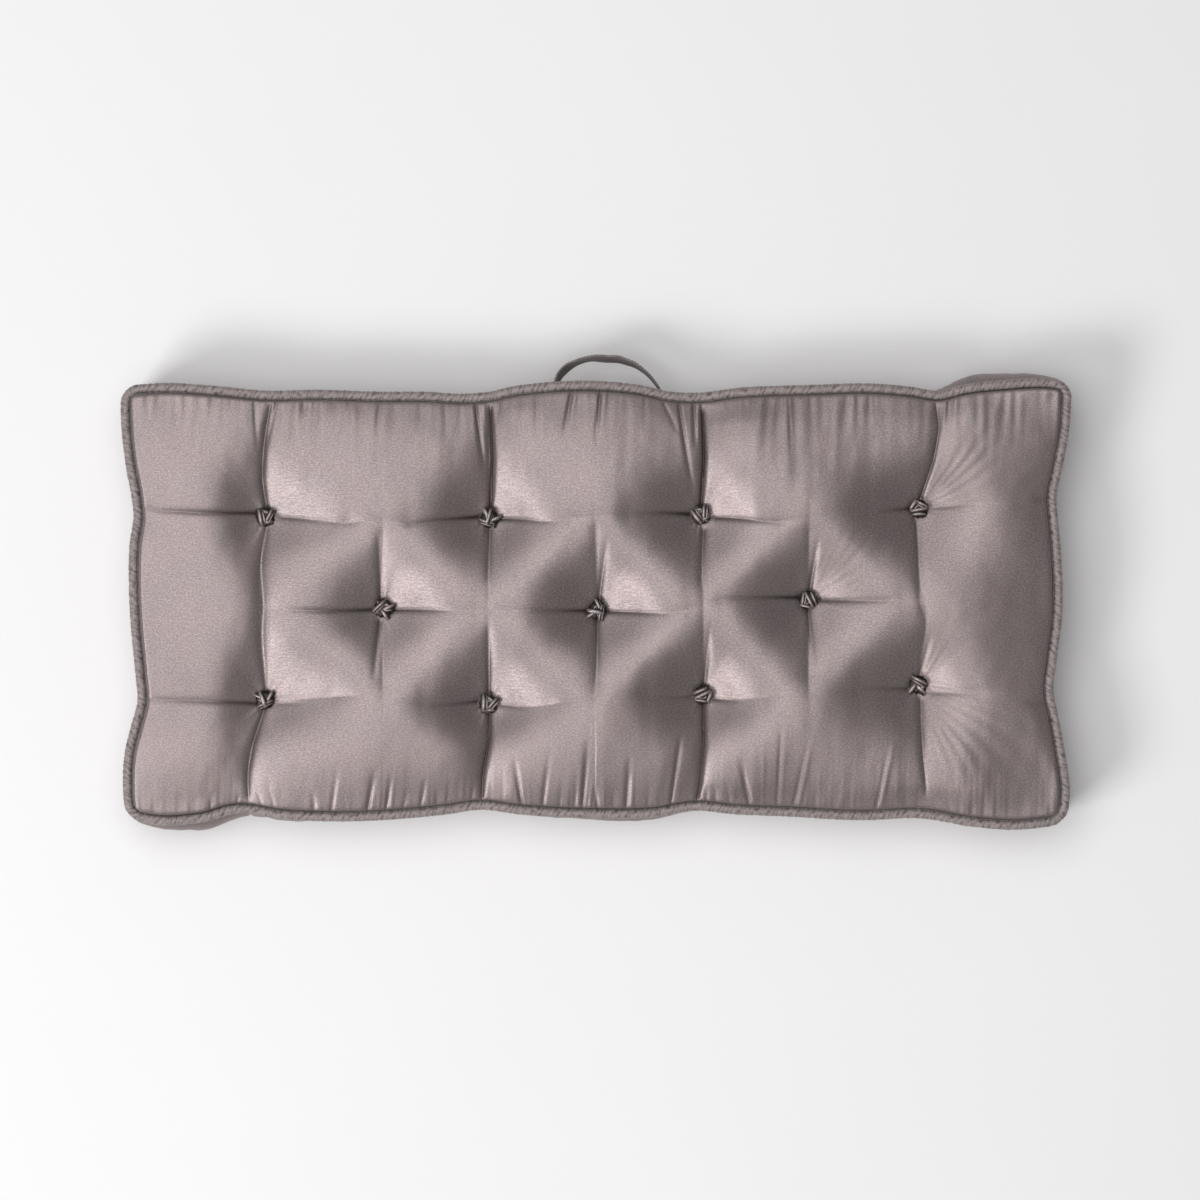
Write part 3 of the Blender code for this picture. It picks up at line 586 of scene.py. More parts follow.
    def seam_rise(self, x: Array, y: Array) -> Array:
        """Height that the seams take from the outline: lower where a crease draws them in."""
        out_x, out_y = self.outline_offsets(x, y)
        return self.seam_wave * (np.sign(x) * out_x + np.sign(y) * out_y)

    def top_height(self, x: Array, y: Array) -> Array:
        """Shapes the top panel before its folds.

        Args:
            x: Nominal place along the length.
            y: Nominal place across the depth.

        Returns:
            Height of the panel at each point.
        """
        crown = self.pillow_height * self.fullness(x, y)
        inside = smooth_step(0.0, self.swell_fade, COVER_Y - np.abs(y))
        for at_x, at_y, reach, height in SWELLS:
            away = ((x - at_x) ** 2 + (y - at_y) ** 2) / (2 * reach**2)
            crown = crown + height * np.exp(-away) * inside
        return self.top_seam + self.seam_rise(x, y) + crown - self.tuft_sink * self.tuft_pull(x, y)

    def under_height_at(self, x: Array, y: Array) -> Array:
        """Height of the underside, pressed flat where it meets the surface below."""
        belly = self.under_height * self.fullness(x, y)
        return np.maximum(0.0, self.low_seam - belly + self.under_tuft_sink * self.tuft_pull(x, y))

    def piping_path(self, level: int, x: Array, y: Array) -> Array:
        """Lays the piping beside its seam.

        Args:
            level: 0 for the top seam and 1 for the lower one.
            x: Nominal X of the points of the rim.
            y: Nominal Y of the points of the rim.

        Returns:
            Points of its centre line in the row frame.
        """
        seam_x, seam_y = self.place(x, y, float(level))
        along_x = np.roll(seam_x, -1) - np.roll(seam_x, 1)
        along_y = np.roll(seam_y, -1) - np.roll(seam_y, 1)
        reach = (self.piping_radius + self.gap) / np.hypot(along_x, along_y)
        z = self.top_seam + (1 - level) * self.seam_rise(x, y) - level * self.band_height
        return self.stand(np.stack([seam_x + along_y * reach, seam_y - along_x * reach, z], axis=1))

    def tuft_place(self, nominal_x: float, nominal_y: float) -> Array:
        """Point of the row frame on which a rosette sits."""
        x, y = np.array([nominal_x]), np.array([nominal_y])
        return self.stand(np.concatenate([*self.place(x, y), self.top_height(x, y)]))


PLAN = CushionPlan()


class Graph:
    """Adds and joins nodes in one tree."""

    def __init__(self, tree: bpy.types.NodeTree) -> None:
        """Keeps the tree."""
        self.tree = tree

    def feed(self, socket: Socket, value: object) -> None:
        """Gives an input socket a plain value, or joins it to the socket that feeds it."""
        if isinstance(value, Socket):
            self.tree.links.new(value, socket)
        else:
            socket.default_value = value

    def add(self, kind: str, inputs: dict | None = None, **settings: object) -> bpy.types.Node:
        """Adds a node.

        Args:
            kind: Blender's name of the node type.
            inputs: Input socket to a plain value or to the socket that feeds it.
            settings: Properties of the node.

        Returns:
            The new node.
        """
        node = self.tree.nodes.new(kind)
        for name, value in settings.items():
            setattr(node, name, value)
        for name, value in (inputs or {}).items():
            self.feed(node.inputs[name], value)
        return node

    def maths(self, operation: str, *values: object) -> Socket:
        """The result of a Math node on these values."""
        return self.add("ShaderNodeMath", dict(enumerate(values)), operation=operation).outputs[0]

    def noise(self, vector: Socket, scale: float, detail: float) -> Socket:
        """A noise value of 0 to 1 over a vector."""
        inputs = {"Vector": vector, "Scale": scale, "Detail": detail}
        return self.add("ShaderNodeTexNoise", inputs).outputs["Fac"]

    def noise_along(self, place: Socket) -> Socket:
        """A noise value of 0 to 1 along a line."""
        inputs = {"W": place, "Scale": 1.0, "Detail": 2.0}
        return self.add("ShaderNodeTexNoise", inputs, noise_dimensions="1D").outputs["Fac"]

    def stretched(self, vector: Socket, scale: tuple[float, ...]) -> Socket:
        """A vector scaled on each axis."""
        inputs = {0: vector, 1: scale}
        return self.add("ShaderNodeVectorMath", inputs, operation="MULTIPLY").outputs[0]

    def blend(self, share: Socket, low: object, high: object) -> Socket:
        """Mixes two colours.

        Args:
            share: Share of the second colour.
            low: The first colour, plain or as a socket.
            high: The second colour, plain or as a socket.

        Returns:
            The mixed colour.
        """
        node = self.add("ShaderNodeMix", {"Factor": share}, data_type="RGBA")
        self.feed(node.inputs[6], low)
        self.feed(node.inputs[7], high)
        return node.outputs[2]

    def ranged(self, value: Socket, span: tuple[float, float, float, float]) -> Socket:
        """A value moved from the range of the span's first two numbers to its last two, clamped."""
        inputs = dict(zip(("From Min", "From Max", "To Min", "To Max"), span))
        return self.add("ShaderNodeMapRange", {"Value": value, **inputs}).outputs["Result"]


class Growth(Graph):
    """A Geometry Nodes tree that grows real geometry along guide lines."""

    def __init__(self, name: str, sizes: tuple[str, ...]) -> None:
        """Starts the tree.

        Args:
            name: Name of the tree.
            sizes: Names of its number inputs.
        """
        super().__init__(bpy.data.node_groups.new(name, "GeometryNodeTree"))
        kinds = {"Lines": "Geometry", **dict.fromkeys(sizes, "Float"), "Cloth": "Material"}
        for socket, kind in kinds.items():
            self.tree.interface.new_socket(socket, in_out="INPUT", socket_type=f"NodeSocket{kind}")
        self.tree.interface.new_socket("Piece", in_out="OUTPUT", socket_type="NodeSocketGeometry")
        self.given = self.add("NodeGroupInput").outputs

    def path(self, step: Socket) -> Socket:
        """The guide lines as curves with a point at every step.

        Args:
            step: Distance between the points of the curve.

        Returns:
            The curves.
        """
        curve = self.add("GeometryNodeMeshToCurve", {"Mesh": self.given["Lines"]}).outputs["Curve"]
        inputs = {"Curve": curve, "Length": step}
        return self.add("GeometryNodeResampleCurve", inputs, mode="LENGTH").outputs["Curve"]

    def keep(self, shape: Socket, kind: str, output: str) -> tuple[Socket, Socket]:
        """Keeps a number of the curve with the shape.

        Args:
            shape: The curve.
            kind: Name of the kept number.
            output: Output of the spline parameter that gives it.

        Returns:
            The curve and the kept number.
        """
        node = self.add("GeometryNodeCaptureAttribute", {"Geometry": shape})
        node.capture_items.new("FLOAT", kind)
        self.feed(node.inputs[kind], self.add("GeometryNodeSplineParameter").outputs[output])
        return node.outputs["Geometry"], node.outputs[kind]

    def store(self, shape: Socket, name: str, value: Socket, **kind: str) -> Socket:
        """The shape with a named attribute on it."""
        inputs = {"Geometry": shape, "Name": name, "Value": value}
        return self.add("GeometryNodeStoreNamedAttribute", inputs, **kind).outputs[0]

    def end(self, shape: Socket) -> bpy.types.GeometryNodeTree:
        """Ends the tree with real geometry, smooth and in its cloth.

        Args:
            shape: The finished shape.

        Returns:
            The tree.
        """
        shape = self.add("GeometryNodeRealizeInstances", {"Geometry": shape}).outputs[0]
        shape = self.add("GeometryNodeSetShadeSmooth", {"Geometry": shape}).outputs[0]
        inputs = {"Geometry": shape, "Material": self.given["Cloth"]}
        self.add("NodeGroupOutput", {"Piece": self.add("GeometryNodeSetMaterial", inputs).outputs[0]})
        return self.tree


@dataclass(frozen=True)
class SatinFinish:
    """A woven satin: its tones, its gloss, the size of its weave, and the painted shade in its folds."""

    name: str
    colour: tuple[float, float, float]
    roughness: float
    sheen: float
    lustre: float
    grain: float
    # How strongly painted shade darkens the cloth in its folds
    shade: float
    silk: float = 0.0
    # Tone and warmth of that painted shade at its darkest
    deepest: float = 0.12
    shade_warmth: float = 0.22
    silk_turn: float = 0.25
    sheen_roughness: float = 0.45
    gloss_spread: tuple[float, float] = (0.05, -0.04)
    threads: tuple[float, float] = (260.0, 320.0)
    thread_relief: float = 0.12
    slub_relief: float = 0.9
    crumple_relief: float = 0.12
    relief_strength: float = 0.6

    def tone(self, factor: float, warmth: float = 0.0) -> tuple[float, float, float, float]:
        """The base colour made lighter or darker, and warmer or cooler."""
        red, green, blue = self.colour
        return (red * factor * (1 + warmth), green * factor, blue * factor * (1 - 0.4 * warmth), 1.0)

    def dyed_and_shaded(self, graph: Graph, noises: dict[str, Socket]) -> Socket:
        """Dyes the cloth, an uneven base with tints over it, and paints shade into it: darker in its folds,
        seams and round the knots.

        Args:
            graph: The material's nodes.
            noises: The noises of the cloth by name.

        Returns:
            The colour of the cloth, with its painted shade.
        """
        dark, light = (self.tone(*tone) for tone in DYE_TONES)
        colour = graph.blend(graph.ranged(noises["mottle"], DYE_SPAN), dark, light)
        for name, span, tone in TINTS:
            colour = graph.blend(graph.ranged(noises[name], span), colour, self.tone(*tone))
        # Painted shade: a point attribute darkens the cloth towards a deep warm tone in folds, seams and
        # round the knots
        folds = graph.add("ShaderNodeAttribute", attribute_name="painted_shade").outputs["Fac"]
        deepest = self.tone(self.deepest, self.shade_warmth)
        return graph.blend(graph.maths("MULTIPLY", folds, self.shade), colour, deepest)

    def woven(self, graph: Graph, cloth: Socket, noises: dict) -> Socket:
        """Gives the surface its weave.

        Args:
            graph: The material's nodes.
            cloth: The piece's own cloth coordinates.
            noises: The noises of the cloth by name.

        Returns:
            The normal with threads, slubs and crumple in it.
        """
        waves = [
            graph.add("ShaderNodeTexWave", {"Vector": cloth, "Scale": scale},
                      bands_direction=way).outputs["Fac"]
            for scale, way in zip(self.threads, "XY")
        ]
        height = graph.maths("MULTIPLY", graph.maths("ADD", *waves), self.thread_relief)
        for name, relief in (("slub", self.slub_relief), ("crumple", self.crumple_relief)):
            height = graph.maths("ADD", height, graph.maths("MULTIPLY", noises[name], relief))
        inputs = {"Height": height, "Distance": self.grain, "Strength": self.relief_strength}
        return graph.add("ShaderNodeBump", inputs).outputs["Normal"]

    def build(self) -> bpy.types.Material:
        """Builds the material.

        Returns:
            A Principled material that reads the piece's own cloth coordinates.
        """
        material = bpy.data.materials.new(self.name)
        material.use_nodes = True
        material.diffuse_color = (*self.colour, 1.0)
        graph = Graph(material.node_tree)
        cloth = graph.add("ShaderNodeUVMap", uv_map="weave").outputs["UV"]
        solid = graph.add("ShaderNodeTexCoord").outputs["Object"]
        noises = {}
        for name, (on_cloth, stretch, scale, detail) in NOISES.items():
            vector = graph.stretched(cloth if on_cloth else solid, stretch)
            noises[name] = graph.noise(vector, scale, detail)
        rough, glossy = (self.roughness + change for change in self.gloss_spread)
        tangent = graph.add("ShaderNodeTangent", direction_type="UV_MAP", uv_map="weave")
        inputs = {
            "Base Color": self.dyed_and_shaded(graph, noises),
            "Roughness": graph.ranged(noises["slub"], (*GLOSS_SPAN, rough, glossy)),
            "Metallic": self.lustre,
            "Anisotropic": self.silk,
            "Anisotropic Rotation": self.silk_turn,
            "Tangent": tangent.outputs["Tangent"],
            "Sheen Weight": self.sheen,
            "Sheen Roughness": self.sheen_roughness,
            "Specular IOR Level": 0.5,
            "Normal": self.woven(graph, cloth, noises),
        }
        shader = material.node_tree.nodes["Principled BSDF"]
        for socket, value in inputs.items():
            graph.feed(shader.inputs[socket], value)
        return material


class Finish(Enum):
    """The cloths and threads of the cushion: name, colour, roughness, sheen, lustre, grain, painted shade."""

    COVER = SatinFinish("taupe_satin", (0.266, 0.221, 0.219), 0.44, 0.06, 0.71, 0.00020, 0.95, silk=0.74)
    PIPING = SatinFinish("gathered_satin", (0.290, 0.246, 0.243), 0.62, 0.30, 0.08, 0.00020, 1.0)
    # The knots are the cover's satin painted lighter, as painted highlight on their ridges, with their
    # painted shade going nearly black in the gaps
    ROSETTE = SatinFinish("knotted_satin", (0.320, 0.270, 0.266), 0.38, 0.04, 0.45, 0.00015, 1.0,
                          deepest=0.030)
    # The strap is the cover's satin painted darker: painted shade, as it stands in shade on the back band
    STRAP = SatinFinish("strap_satin", (0.175, 0.148, 0.146), 0.60, 0.15, 0.10, 0.00020, 0.60)
    THREAD = SatinFinish("sewing_thread", (0.150, 0.128, 0.126), 0.50, 0.30, 0.10, 0.00005, 0.0)


MATERIALS: dict[Finish, bpy.types.Material] = {}


def material_of(finish: Finish) -> bpy.types.Material:
    """The material of a finish, built once."""
    if finish not in MATERIALS:
        MATERIALS[finish] = finish.value.build()
    return MATERIALS[finish]


def in_scene(item: bpy.types.Object) -> bpy.types.Object:
    """The same object, put in the scene."""
    bpy.context.scene.collection.objects.link(item)
    return item


@dataclass
class Draft:
    """Points and faces of a piece, gathered before its mesh is made."""

    points: list[Array] = field(default_factory=list)
    faces: list[Array] = field(default_factory=list)
    cloth: list[Array] = field(default_factory=list)
    # Painted shade of each point, from 0 to 1
    depth: list[Array] = field(default_factory=list)
    count: int = 0

    def add_points(self, points: Array, depth: Array | None = None) -> int:
        """Adds points.

        Args:
            points: Rows of X, Y, Z.
            depth: Painted shade of each one, from 0 to 1, deepest in a fold.

        Returns:
            The number of the first new point.
        """
        first = self.count
        self.points.append(points)
        self.depth.append(np.zeros(len(points)) if depth is None else depth)
        self.count += len(points)
        return first

    def add_faces(self, faces: Array, cloth: Array) -> None:
        """Adds faces of one size, with a cloth coordinate for each of their corners."""
        self.faces.append(faces)
        self.cloth.append(cloth)

    def add_tube(
        self, rings: Array, ends: Array, depth: Array, along: Array, across: Array, inward: bool = False
    ) -> None:
        """Adds a closed tube whose ends meet in one point each.

        Args:
            rings: Points by ring and by side.
            ends: The points in which the first and the last ring meet.
            depth: Painted shade of the points of the rings, then of the ends.
            along: Cloth coordinate of each ring.
            across: Cloth coordinate of each side, then of the first side again.
            inward: True if the faces would point inwards without a turn.
        """
        count, sides = rings.shape[:2]
        first = self.add_points(np.concatenate([rings.reshape(-1, 3), ends]), depth)
        i, k = mesh_pairs(np.arange(sides), np.arange(count - 1))
        corners = ((0, 0), (1, 0), (1, 1), (0, 1)) if inward else ((0, 0), (0, 1), (1, 1), (1, 0))
        quads = [(k + ring) * sides + (i + side) % sides for ring, side in corners]
        cloth = [np.stack([along[k + ring], across[i + side]], axis=1) for ring, side in corners]
        self.add_faces(first + np.stack(quads, axis=1), np.stack(cloth, axis=1))
        side = np.arange(sides)
        after = (side + 1) % sides
        for number, ring, pair in ((0, 0, (after, side)), (1, count - 1, (side, after))):
            one, other = pair[::-1] if inward else pair
            tip = np.full(sides, count * sides + number)
            fan = np.stack([tip, ring * sides + one, ring * sides + other], axis=1)
            self.add_faces(first + fan, np.zeros((sides, 3, 2)))

    def object(self, name: str, finish: Finish) -> bpy.types.Object:
        """Makes the piece.

        Args:
            name: Name of the piece.
            finish: The cloth that it is made of.

        Returns:
            A smooth mesh object at the origin.
        """
        mesh = bpy.data.meshes.new(name)
        points = np.concatenate(self.points)
        corners = np.concatenate([group.ravel() for group in self.faces])
        sizes = np.concatenate([np.full(len(group), group.shape[1]) for group in self.faces])
        mesh.vertices.add(len(points))
        mesh.vertices.foreach_set("co", points.ravel())
        mesh.loops.add(len(corners))
        mesh.loops.foreach_set("vertex_index", corners.astype(np.int32))
        mesh.polygons.add(len(sizes))
        starts = np.concatenate([[0], np.cumsum(sizes)[:-1]])
        mesh.polygons.foreach_set("loop_start", starts.astype(np.int32))
        layer = mesh.uv_layers.new(name="weave")
        cloth = np.concatenate([group.reshape(-1, 2) for group in self.cloth])
        layer.data.foreach_set("uv", cloth.astype(np.float32).ravel())
        # Painted shade of each point, which the material reads to darken the cloth
        shade = mesh.attributes.new("painted_shade", "FLOAT", "POINT")
        shade.data.foreach_set("value", np.concatenate(self.depth).astype(np.float32))
        mesh.update(calc_edges=True)
        mesh.validate()
        mesh.shade_smooth()
        mesh.materials.append(material_of(finish))
        return in_scene(bpy.data.objects.new(name, mesh))


@dataclass(frozen=True)
class SeamWaves:
    """Waves that a long seam draws into the panel, in millimetres."""

    waves: Waves
    fade: float
    start: float
    lean: tuple[float, float]
    until: float = 1000.0
    ending: float = 70.0

    def at(self, px: Array, inward: Array, sign: int) -> Array:
        """Height of the waves.

        Args:
            px: Real place along the seam.
            inward: Distance from the seam.
            sign: 1 at the back seam and -1 at the front one.

        Returns:
            A height at each point.
        """
        share = np.exp(-inward / self.fade) * smooth_step(0.0, self.start, inward)
        share = share * (1 - smooth_step(self.until, self.until + self.ending, np.abs(px)))
        leaned = px + self.lean[0] * sign * inward
        return share * self.waves.at(leaned, self.lean[1] * inward, sign)


@dataclass(frozen=True)
class Puckering:
    """How the puckers of the long seams are drawn from their tables, in millimetres."""

    hollow: float = 0.74
    ridge: float = 0.34
    past: float = 1.25
    fade_power: float = 0.8
    widths: float = 5.0
    first_share: float = 0.35
    first_reach: float = 5.0
    opening: tuple[float, float] = (0.50, 0.40)
    patches: Waves = Waves(0.5, 95, 6, 60.0, 160.0)
    patch_mean: float = 0.7
    seam_waves: tuple[SeamWaves, ...] = (
        SeamWaves(Waves(0.34, 90, 14, 5.5, 17.0), fade=32.0, start=4.0, lean=(0.05, 0.13)),
        SeamWaves(Waves(0.46, 97, 12, 14.0, 46.0), fade=70.0, start=12.0, lean=(0.03, 0.06), until=300.0),
    )

    def at(self, px: Array, y: Array) -> Array:
        """Height of the puckers and waves along the long seams.

        Args:
            px: Real place along the length, in millimetres.
            y: Nominal place across the depth, in metres.

        Returns:
            A height in millimetres at each point.
        """
        total = np.zeros_like(px)
        for sign, table in ((-1, FRONT_PUCKERS), (1, BACK_PUCKERS)):
            inward = (COVER_Y - sign * y) / MM
            for at, slant, reach, height, width in table:
                t = inward / reach
                beside = np.abs(px - at) < abs(slant) + self.widths * width
                rows = np.flatnonzero((t < self.past) & beside)
                away = px[rows] - at - slant * t[rows]
                fade = np.clip(1 - t[rows] / self.past, 0, 1) ** self.fade_power
                rise = smooth_step(0.0, self.first_reach, inward[rows])
                start = self.first_share + (1 - self.first_share) * rise
                spread = width * (self.opening[0] + self.opening[1] * t[rows])
                strength = self.hollow if height < 0 else self.ridge
                total[rows] += strength * height * start * fade * bell(away, spread)
            patchy = self.patch_mean + self.patches.at(px, 0.0, sign)
            for waves in self.seam_waves:
                total += patchy * waves.at(px, inward, sign)
        return total


@dataclass(frozen=True)
class CreaseCut:
    """How the sharp creases are cut along their ways, in millimetres."""

    margin: float = 14.0
    ending: float = 14.0
    kept: float = 2.0
    softness: float = 0.6

    def at(self, px: Array, py: Array) -> Array:
        """Depth of the sharp creases.

        Args:
            px: Real X of points of the panel, in millimetres.
            py: Real Y of points of the panel, in millimetres.

        Returns:
            A depth in millimetres at each point.
        """
        deepest = np.zeros_like(px)
        for _, first, last, width, way in CREASES:
            way_mm = np.array(way, float)
            steps = np.hypot(*np.diff(way_mm, axis=0).T)
            run = np.concatenate([[0.0], np.cumsum(steps)]) / steps.sum()
            low, high = way_mm.min(0) - self.margin, way_mm.max(0) + self.margin
            near = np.flatnonzero((px > low[0]) & (px < high[0]) & (py > low[1]) & (py < high[1]))
            best = np.zeros(len(near))
            for i, step in enumerate(steps):
                along = (way_mm[i + 1] - way_mm[i]) / step
                rel_x, rel_y = px[near] - way_mm[i][0], py[near] - way_mm[i][1]
                t = np.clip(rel_x * along[0] + rel_y * along[1], 0, step)
                away = np.hypot(rel_x - along[0] * t, rel_y - along[1] * t)
                share = run[i] + (run[i + 1] - run[i]) * t / step
                left = (1 - share) * steps.sum() + self.kept
                depth = (first + (last - first) * share) * smooth_step(0.0, self.ending, left)
                wall = np.hypot(away, self.softness) - self.softness
                best = np.maximum(best, depth * np.exp(-wall / width))
            deepest[near] = np.maximum(deepest[near], best)
        return deepest


@dataclass(frozen=True)
class TuftGathers:
    """The small pleats round each tuft, and the fans of fine folds farther out."""

    seed: int = 41
    height: float = 0.00024
    pleats: tuple[tuple[int, float, int], ...] = ((13, 1.2, 2), (21, 0.8, 3))
    strengths: tuple[float, float] = (0.5, 1.0)
    widest: float = 0.075
    knot: float = 0.009
    fade: float = 0.012
    start: tuple[float, float] = (0.003, 0.010)
    fan_strength: float = 1.7
    fan_start: tuple[float, float] = (7.0, 22.0)
    fan_reach: float = 1.15
    fan_limit: float = 3.2
    bend_along: tuple[float, float] = (1.3, 23.0)
    bend_round: tuple[float, float] = (1.1, 7.0)

    def pleated(self, px: Array, py: Array) -> Array:
        """Height of the small pleats.

        Args:
            px: Real X of points of the panel.
            py: Real Y of points of the panel.

        Returns:
            A height at each point.
        """
        total = np.zeros_like(px)
        draw = np.random.default_rng(self.seed)
        for _, _, _, at_x, at_y in TUFTS:
            phases = draw.uniform(0, math.tau, 4)
            strengths = draw.uniform(*self.strengths, 2)
            reach = np.hypot(px - at_x, py - at_y)
            near = np.flatnonzero(reach < self.widest)
            angle = np.arctan2(py[near] - at_y, px[near] - at_x)
            wave = np.zeros(len(near))
            for number, (pleats, sway, turns) in enumerate(self.pleats):
                swayed = sway * np.sin(turns * angle + phases[number + 2])
                wave += strengths[number] * np.cos(pleats * angle + phases[number] + swayed)
            fade = np.exp(-np.maximum(0, reach[near] - self.knot) / self.fade)
            total[near] += self.height * wave * fade * smooth_step(*self.start, reach[near])
        return total

    def fanned(self, px: Array, py: Array) -> Array:
        """Height of the fans of fine folds.

        Args:
            px: Real X of points of the panel, in millimetres.
            py: Real Y of points of the panel, in millimetres.

        Returns:
            A height in millimetres at each point.
        """
        total = np.zeros_like(px)
        places = {tuft[0]: (tuft[3] / MM, tuft[4] / MM) for tuft in TUFTS}
        for number, (name, direction, spread, reach, height, folds) in enumerate(FANS):
            rel_x, rel_y = px - places[name][0], py - places[name][1]
            near = np.flatnonzero(np.hypot(rel_x, rel_y) < self.fan_limit * reach)
            away = np.hypot(rel_x[near], rel_y[near])
            turn = np.arctan2(rel_y[near], rel_x[near]) - math.radians(direction)
            turn = (turn + math.pi) % math.tau - math.pi
            bend = self.bend_along[0] * np.sin(away / self.bend_along[1] + number)
            bend = bend + self.bend_round[0] * np.sin(self.bend_round[1] * turn + 2 * number)
            fade = smooth_step(*self.fan_start, away) * bell(away, self.fan_reach * reach)
            window = bell(turn, math.radians(spread))
            total[near] += self.fan_strength * height * np.cos(folds * turn + bend) * window * fade
        return total


@dataclass(frozen=True)
class BandFolds:
    """The boxing band's own folds, and how they flatten at the seams and under the strap."""

    soft: Waves = Waves(0.0009, 21, 12, 0.05, 0.17)
    drag: Waves = Waves(0.00025, 22, 16, 0.016, 0.045)
    fine: Waves = Waves(0.00025, 23, 16, 0.008, 0.018)
    soft_slant: float = 0.55
    fine_slant: float = 0.3
    fine_edge: float = 1.15
    free: tuple[float, float] = (0.006, 0.015)
    lean: float = 0.10
    lean_from: float = 0.01
    tab_left: tuple[float, float] = (-0.095, -0.080)
    tab_right: tuple[float, float] = (0.102, 0.116)
    tab_hold: float = 0.85

    def at(self, x: Array, y: Array, run: Array, drop: float) -> Array:
        """How far the folds stand out.

        Args:
            x: Nominal X of the points of the rim.
            y: Nominal Y of the points of the rim.
            run: Real distance of each point along the rim.
            drop: How far below the top seam.

        Returns:
            A distance at each point, below 0 in a fold.
        """
        middle = math.sin(math.pi * drop / PLAN.band_height)
        free = smooth_step(*self.free, drop) * smooth_step(*self.free, PLAN.band_height - drop)
        out = self.soft.at(run, drop * self.soft_slant) * middle + self.drag.at(run, drop)
        out = out + self.fine.at(run, drop * self.fine_slant) * (self.fine_edge - middle)
        sides = {"front": y <= -COVER_Y + 1e-6, "back": y >= COVER_Y - 1e-6}
        px, _ = PLAN.place(x, y)
        for side, at, deep, wide, reach in BAND_CREASES:
            bent = px - at - self.lean * (drop - self.lean_from)
            out = out - sides[side] * deep * bell(bent, wide) * math.exp(-drop / reach)
        tab = sides["back"] * smooth_step(*self.tab_left, px) * (1 - smooth_step(*self.tab_right, px))
        return out * free * (1 - self.tab_hold * tab)


